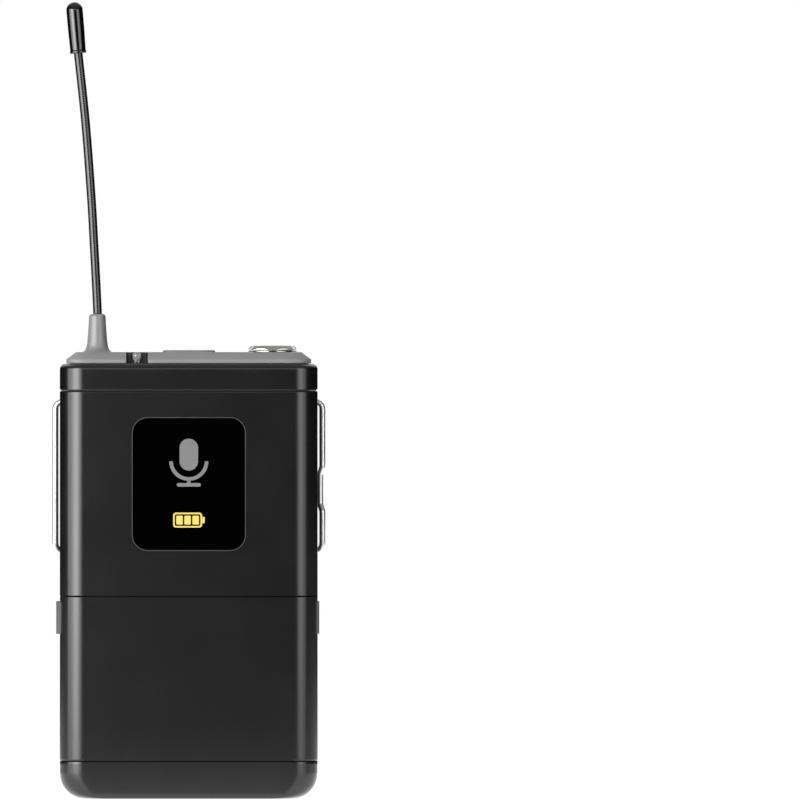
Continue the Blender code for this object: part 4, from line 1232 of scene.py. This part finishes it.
corners = clip_corners()
route = [Vector(corners[0][0]), Vector(corners[0][0]) + Vector((0.25, 0, 0))]
for i in range(1, len(corners) - 1):
    route += bend(corners[i - 1][0], corners[i][0], corners[i + 1][0], corners[i][1])
route += [Vector(corners[-1][0]) - Vector((0.25, 0, 0)), Vector(corners[-1][0])]
clip = swept("belt_clip_wire", route, WIRE_R)
place(smooth(clip, 50), "clip", "clip_wire", WIRE_STEEL, "belt_clip")
print(f"clip route: {len(route)} points")

# %% [markdown]
# ## Screws and label
# Pan heads with a cross recess, black oxide. The rating label is blank silver film with a raised border
# line.

# %% Screws
def pan_screw(name, node):
    low, high = node_box(node)
    middle = (low + high) / 2
    head_r = (high.x - low.x) / 2
    shank_r = 0.9 if head_r > 2 else 0.8
    length = high.y - low.y
    shape = [(0, length)] + shoulder(0, head_r, length, 0.55, (20, 40, 60, 75, 90))
    shape += [(head_r, length - 1.0), (shank_r, length - 1.0), (shank_r, 0.5), (0.3, 0), (0, 0)]
    screw = turned(name, shape, (0, 0, 0), 40)
    turn_and_move(screw, -90, "X", (middle.x, low.y, middle.z))
    slot = head_r * 0.55
    for degrees in (20, 110):
        blade = box_piece("blade", (-slot, high.y - 0.6, -0.24), (slot, high.y + 1, 0.24), "Y", 0.1)
        cut(screw, turn_and_move(blade, degrees, "Y", (middle.x, 0, middle.z)))
    return place(smooth(screw, 35), "root", "screw_black", OXIDE, node)


for i in range(4):
    pan_screw(f"rear_screw_cross_{i + 1}", f"rear_screw_{i + 1}")
for i in range(2):
    pan_screw(f"board_screw_cross_{i + 1}", f"board_screw_{i + 1}")

# %% Rating label
label_edge = rounded(LABEL_LOW.xz, LABEL_HIGH.xz, 0.9)
label = slab("rating_label_blank", label_edge, LABEL_LOW.y, LABEL_HIGH.y - 0.04, "Y")
edge = Vector((1, 1))
line_outer = rounded(LABEL_LOW.xz + edge, LABEL_HIGH.xz - edge, 0.6)
line_inner = rounded(LABEL_LOW.xz + edge * 1.2, LABEL_HIGH.xz - edge * 1.2, 0.45)
border = slab("rating_label_border", line_outer, LABEL_HIGH.y - 0.03, LABEL_HIGH.y, "Y")
cut(border, slab("border_inside", line_inner, LABEL_HIGH.y - 1, LABEL_HIGH.y + 1, "Y"))
place(soften(label, 0.05, 2), "root", "label_grey", FILM, "rear_label")
place(border, "root", "label_grey", INK_GREY)

# %% [markdown]
# ## The battery bay
# It shows when the door is open. The cells are turned: a flat negative end, a rolled shoulder under the
# sleeve and a nub at the positive end. The trimmer has a slotted rotor and a ring of tick marks on the
# panel round it.

# %% Cells
BAND_X = 13.0
for name, positive in (("cell_lower", 1), ("cell_upper", -1)):
    low, high = node_box(name)
    middle = (low + high) / 2
    radius = (high.z - low.z) / 2
    length = high.x - low.x
    nub = [(0, 0), (2.4, 0), (2.72, 0.25), (2.75, 1.1), (3.1, 1.25), (5.6, 1.3)]
    can = [(r, length - drop) for r, drop in nub]
    for inset, drop in ((0.6, 1.35), (0.15, 1.6), (0, 2.1), (0, 2.9)):
        can.append((radius - inset, length - drop))
    can += [(radius, 0.7), (radius - 0.2, 0.25), (radius - 0.7, 0.1), (5.4, 0.08), (5.1, 0.0), (0, 0.0)]
    cell = turned(name + "_sleeved", can, (0, 0, 0), 56)
    turn_and_move(cell, 90 * positive, "Y", (-positive * length / 2, middle.y, middle.z))
    sleeve = cell_sleeve(name + "_shrink_sleeve", BAND_X, positive)
    place(smooth(cell, 35), "root", "cell_sleeve", sleeve, name)

# %% Trimmer and its panel
POT_LOW, POT_HIGH = node_box("gain_pot_rotor")
POT = (POT_LOW + POT_HIGH) / 2
POT_R = (POT_HIGH.x - POT_LOW.x) / 2
plate_low, plate_high = node_box("control_plate")
surround = box_piece("trimmer_panel", plate_low, plate_high, "Y", 1.0)
cut(surround, rod("window", (POT.x, -9, POT.z), (POT.x, -3, POT.z), 2.6, 40))
TICK_R = 3.35
for x, z in arc((POT.x, POT.z), TICK_R, 225, -45, 10):
    cut(surround, rod("tick", (x, -7, z), (x, plate_low.y + 0.2, z), 0.16, 10))
soften(surround, 0.12, 2)
place(surround, "root", "inner_black", INNER_BLACK, "control_plate")
deep = POT_HIGH.y - POT_LOW.y
shape = [(0, 0.0), (POT_R - 0.2, 0.0), (POT_R, 0.2), (POT_R, deep - 0.05), (0, deep)]
rotor = turned("trimmer_rotor", shape, (0, 0, 0), 40)
turn_and_move(rotor, -90, "X", (POT.x, POT_LOW.y, POT.z))
# (name, x from, x to, half height, depth) of the driver's slot and of the mark that shows which way it points
for name, x0, x1, half, depth in (("slot", -3, 3, 0.32, 0.7), ("mark", 1.2, 1.6, 0.5, 0.4)):
    low = (POT.x + x0, -9, POT.z - half)
    high = (POT.x + x1, POT_LOW.y + depth, POT.z + half)
    cut(rotor, box_piece(name, low, high, "Y", 0.05))
soften(rotor, 0.06, 2)
place(rotor, "gain", "pot_white", plain_moulding("nylon_white_moulded", "#a9a8a2"), "gain_pot_rotor")

# %% [markdown]
# ## Solids that keep their shape
# A plate, a board or a coil contact already has its right shape in the frame, so it only takes a better
# material.

# %% Materials for the frame's own pieces
KEPT = {
    INNER_BLACK: ["battery_tray", "socket_insert", "audio_chip"],
    TINNED: ["shield_can", "switch_body", "crystal", "capacitor", "contact_bridge", "contact_negative",
             "contact_positive", "contact_spring_lower", "contact_spring_upper"],
    NICKEL: ["hinge_pin_left", "hinge_pin_right"],
    GOLD: ["antenna_ferrule", "antenna_contact"],
    BOARD: ["main_board"],
    plain_moulding("polyimide_amber", "#9a5a1e", 0.35): ["control_lead"],
    plain_moulding("pot_body_blue", "#2a4a80"): ["gain_pot_body"],
}
for material, nodes in KEPT.items():
    for name in nodes:
        node = frame["nodes"][name]
        node.data.materials.clear()
        node.data.materials.append(material)
        node.data.shade_smooth()
        node.data.set_sharp_from_angle(angle=math.radians(35))
print("kept nodes:", sum(len(v) for v in KEPT.values()))

# %% [markdown]
# ## Floor, light and camera
# The floor is pale and wide. Two soft boxes stand in front: a large bright one on the left and a weaker one
# on the right, with the dark between them facing the case. That dark gap is what keeps the flat front black
# while the round corners carry one bright and one faint stripe.

# %% Floor and background
FLOOR_R = 520.0
FLOOR_GLOW = 1.6
FLOOR_GLOW_FRONT = 0.04
SKY_TOP = 0.52
SKY_SIDE = 0.011


def paper_floor():
    """White paper on a light table. It glows, brightly beside and behind the case and dimly in front."""
    material, tree, shader = new_material("paper_white_backlit", "#f4f4f4", 0.9)
    where = add_node(tree, "ShaderNodeTexCoord").outputs["Object"]
    y = add_node(tree, "ShaderNodeSeparateXYZ", inputs={"Vector": where}).outputs["Y"]
    reach = add_node(tree, "ShaderNodeVectorMath", {"operation": "LENGTH"}, {0: where}).outputs["Value"]
    # (what it follows, from, to, glow at from, glow at to), with the distances in metres
    ramps = ((y, -0.15, -0.025, FLOOR_GLOW_FRONT, FLOOR_GLOW), (reach, 0.36, 0.5, 0.0, 1.0))
    levels = []
    for value, near, far, glow_near, glow_far in ramps:
        reading = {"Value": value, "From Min": near, "From Max": far, "To Min": glow_near, "To Max": glow_far}
        level = add_node(tree, "ShaderNodeMapRange", {"interpolation_type": "SMOOTHSTEP"}, reading)
        levels.append(level.outputs["Result"])
    glow, rim = levels
    glow = add_node(tree, "ShaderNodeMath", {"operation": "MAXIMUM"}, {0: glow, 1: rim}).outputs[0]
    shader.inputs["Emission Color"].default_value = (1, 1, 1, 1)
    tree.links.new(glow, shader.inputs["Emission Strength"])
    return material


def floor_disc(name, z, material):
    bm = bmesh.new()
    bmesh.ops.create_circle(bm, cap_ends=True, segments=128, radius=FLOOR_R)
    bmesh.ops.translate(bm, vec=(0, 0, z), verts=bm.verts)
    disc = make_object(name, bm)
    disc.data.materials.append(material)
    return disc


# The camera sees one plain white sheet. A second sheet, which it doesn't see, lights the case from below.
floor = floor_disc("floor", -0.05, new_material("paper_white", "#f4f4f4", 0.9, Emission_Strength=1.0)[0])
floor.visible_diffuse = False
floor.visible_glossy = False
floor.visible_transmission = False
bounce = floor_disc("floor_bounce", -0.06, paper_floor())
bounce.visible_camera = False

world = bpy.data.worlds.new("studio")
world.use_nodes = True
tree = world.node_tree
tree.nodes.clear()
rays = add_node(tree, "ShaderNodeLightPath").outputs["Is Camera Ray"]
way = add_node(tree, "ShaderNodeTexCoord").outputs["Generated"]
up = add_node(tree, "ShaderNodeSeparateXYZ", inputs={"Vector": way}).outputs["Z"]
sky = add_node(
    tree, "ShaderNodeMapRange",
    inputs={"Value": up, "From Min": 0.35, "From Max": 0.8, "To Min": SKY_SIDE, "To Max": SKY_TOP},
).outputs["Result"]
dim = add_node(tree, "ShaderNodeBackground", inputs={"Color": (1, 1, 1, 1), "Strength": sky})
bright = add_node(tree, "ShaderNodeBackground", inputs={"Color": (1, 1, 1, 1), "Strength": 1.0})
mixed = add_node(tree, "ShaderNodeMixShader", inputs={0: rays, 1: dim.outputs[0], 2: bright.outputs[0]})
add_node(tree, "ShaderNodeOutputWorld", inputs={"Surface": mixed.outputs[0]})
bpy.context.scene.world = world
bpy.context.scene.view_settings.view_transform = "Standard"
lit = bpy.data.collections.new("lit_by_soft_boxes")
for obj in bpy.context.scene.objects:
    if obj.type == "MESH" and obj not in (floor, bounce):
        lit.objects.link(obj)


# %% Soft boxes
def soft_box(name, azimuth, distance, height, width, tall, radiance):
    """A rectangular light that faces the case. azimuth is from the camera's side, positive to the right."""
    light = bpy.data.lights.new(name, "AREA")
    light.shape = "RECTANGLE"
    light.size = width
    light.size_y = tall
    light.energy = radiance * math.pi * width * tall
    lamp = bpy.data.objects.new(name, light)
    angle = math.radians(azimuth)
    lamp.location = (math.sin(angle) * distance, -math.cos(angle) * distance, height)
    aim = Vector((0, 0, 0.07)) - lamp.location
    lamp.rotation_euler = aim.to_track_quat("-Z", "Y").to_euler()
    lamp.visible_camera = False
    lamp.light_linking.receiver_collection = lit
    bpy.context.scene.collection.objects.link(lamp)
    return lamp


soft_box("soft_box_left", -48, 0.42, 0.12, 0.54, 0.36, 4.6)
soft_box("soft_box_left_core", -41, 0.4, 0.12, 0.19, 0.36, 6.0)
soft_box("soft_box_right", 42, 0.5, 0.12, 0.36, 0.44, 2.2)
soft_box("soft_box_right_core", 38, 0.48, 0.12, 0.12, 0.44, 1.9)
soft_box("strip_over_camera", 0, 1.2, 0.48, 1.0, 0.1, 4.6)
soft_box("soft_box_back", 180, 1.2, 0.9, 1.6, 1.0, 1.2)

# %% Camera
VIEW_MM = 198.5
LENS = 1000.0
camera_data = bpy.data.cameras.new("camera")
camera_data.lens = LENS
camera_data.sensor_width = 36.0  # mm
camera = bpy.data.objects.new("camera", camera_data)
distance = LENS * VIEW_MM / camera_data.sensor_width
camera.location = Vector((52.5, FRONT_Y - distance, 99.0)) * MM
camera.rotation_euler = (math.radians(90), 0, 0)
camera_data.clip_end = 50
bpy.context.scene.collection.objects.link(camera)
bpy.context.scene.camera = camera
print(f"camera {distance:.0f} mm in front of the case")
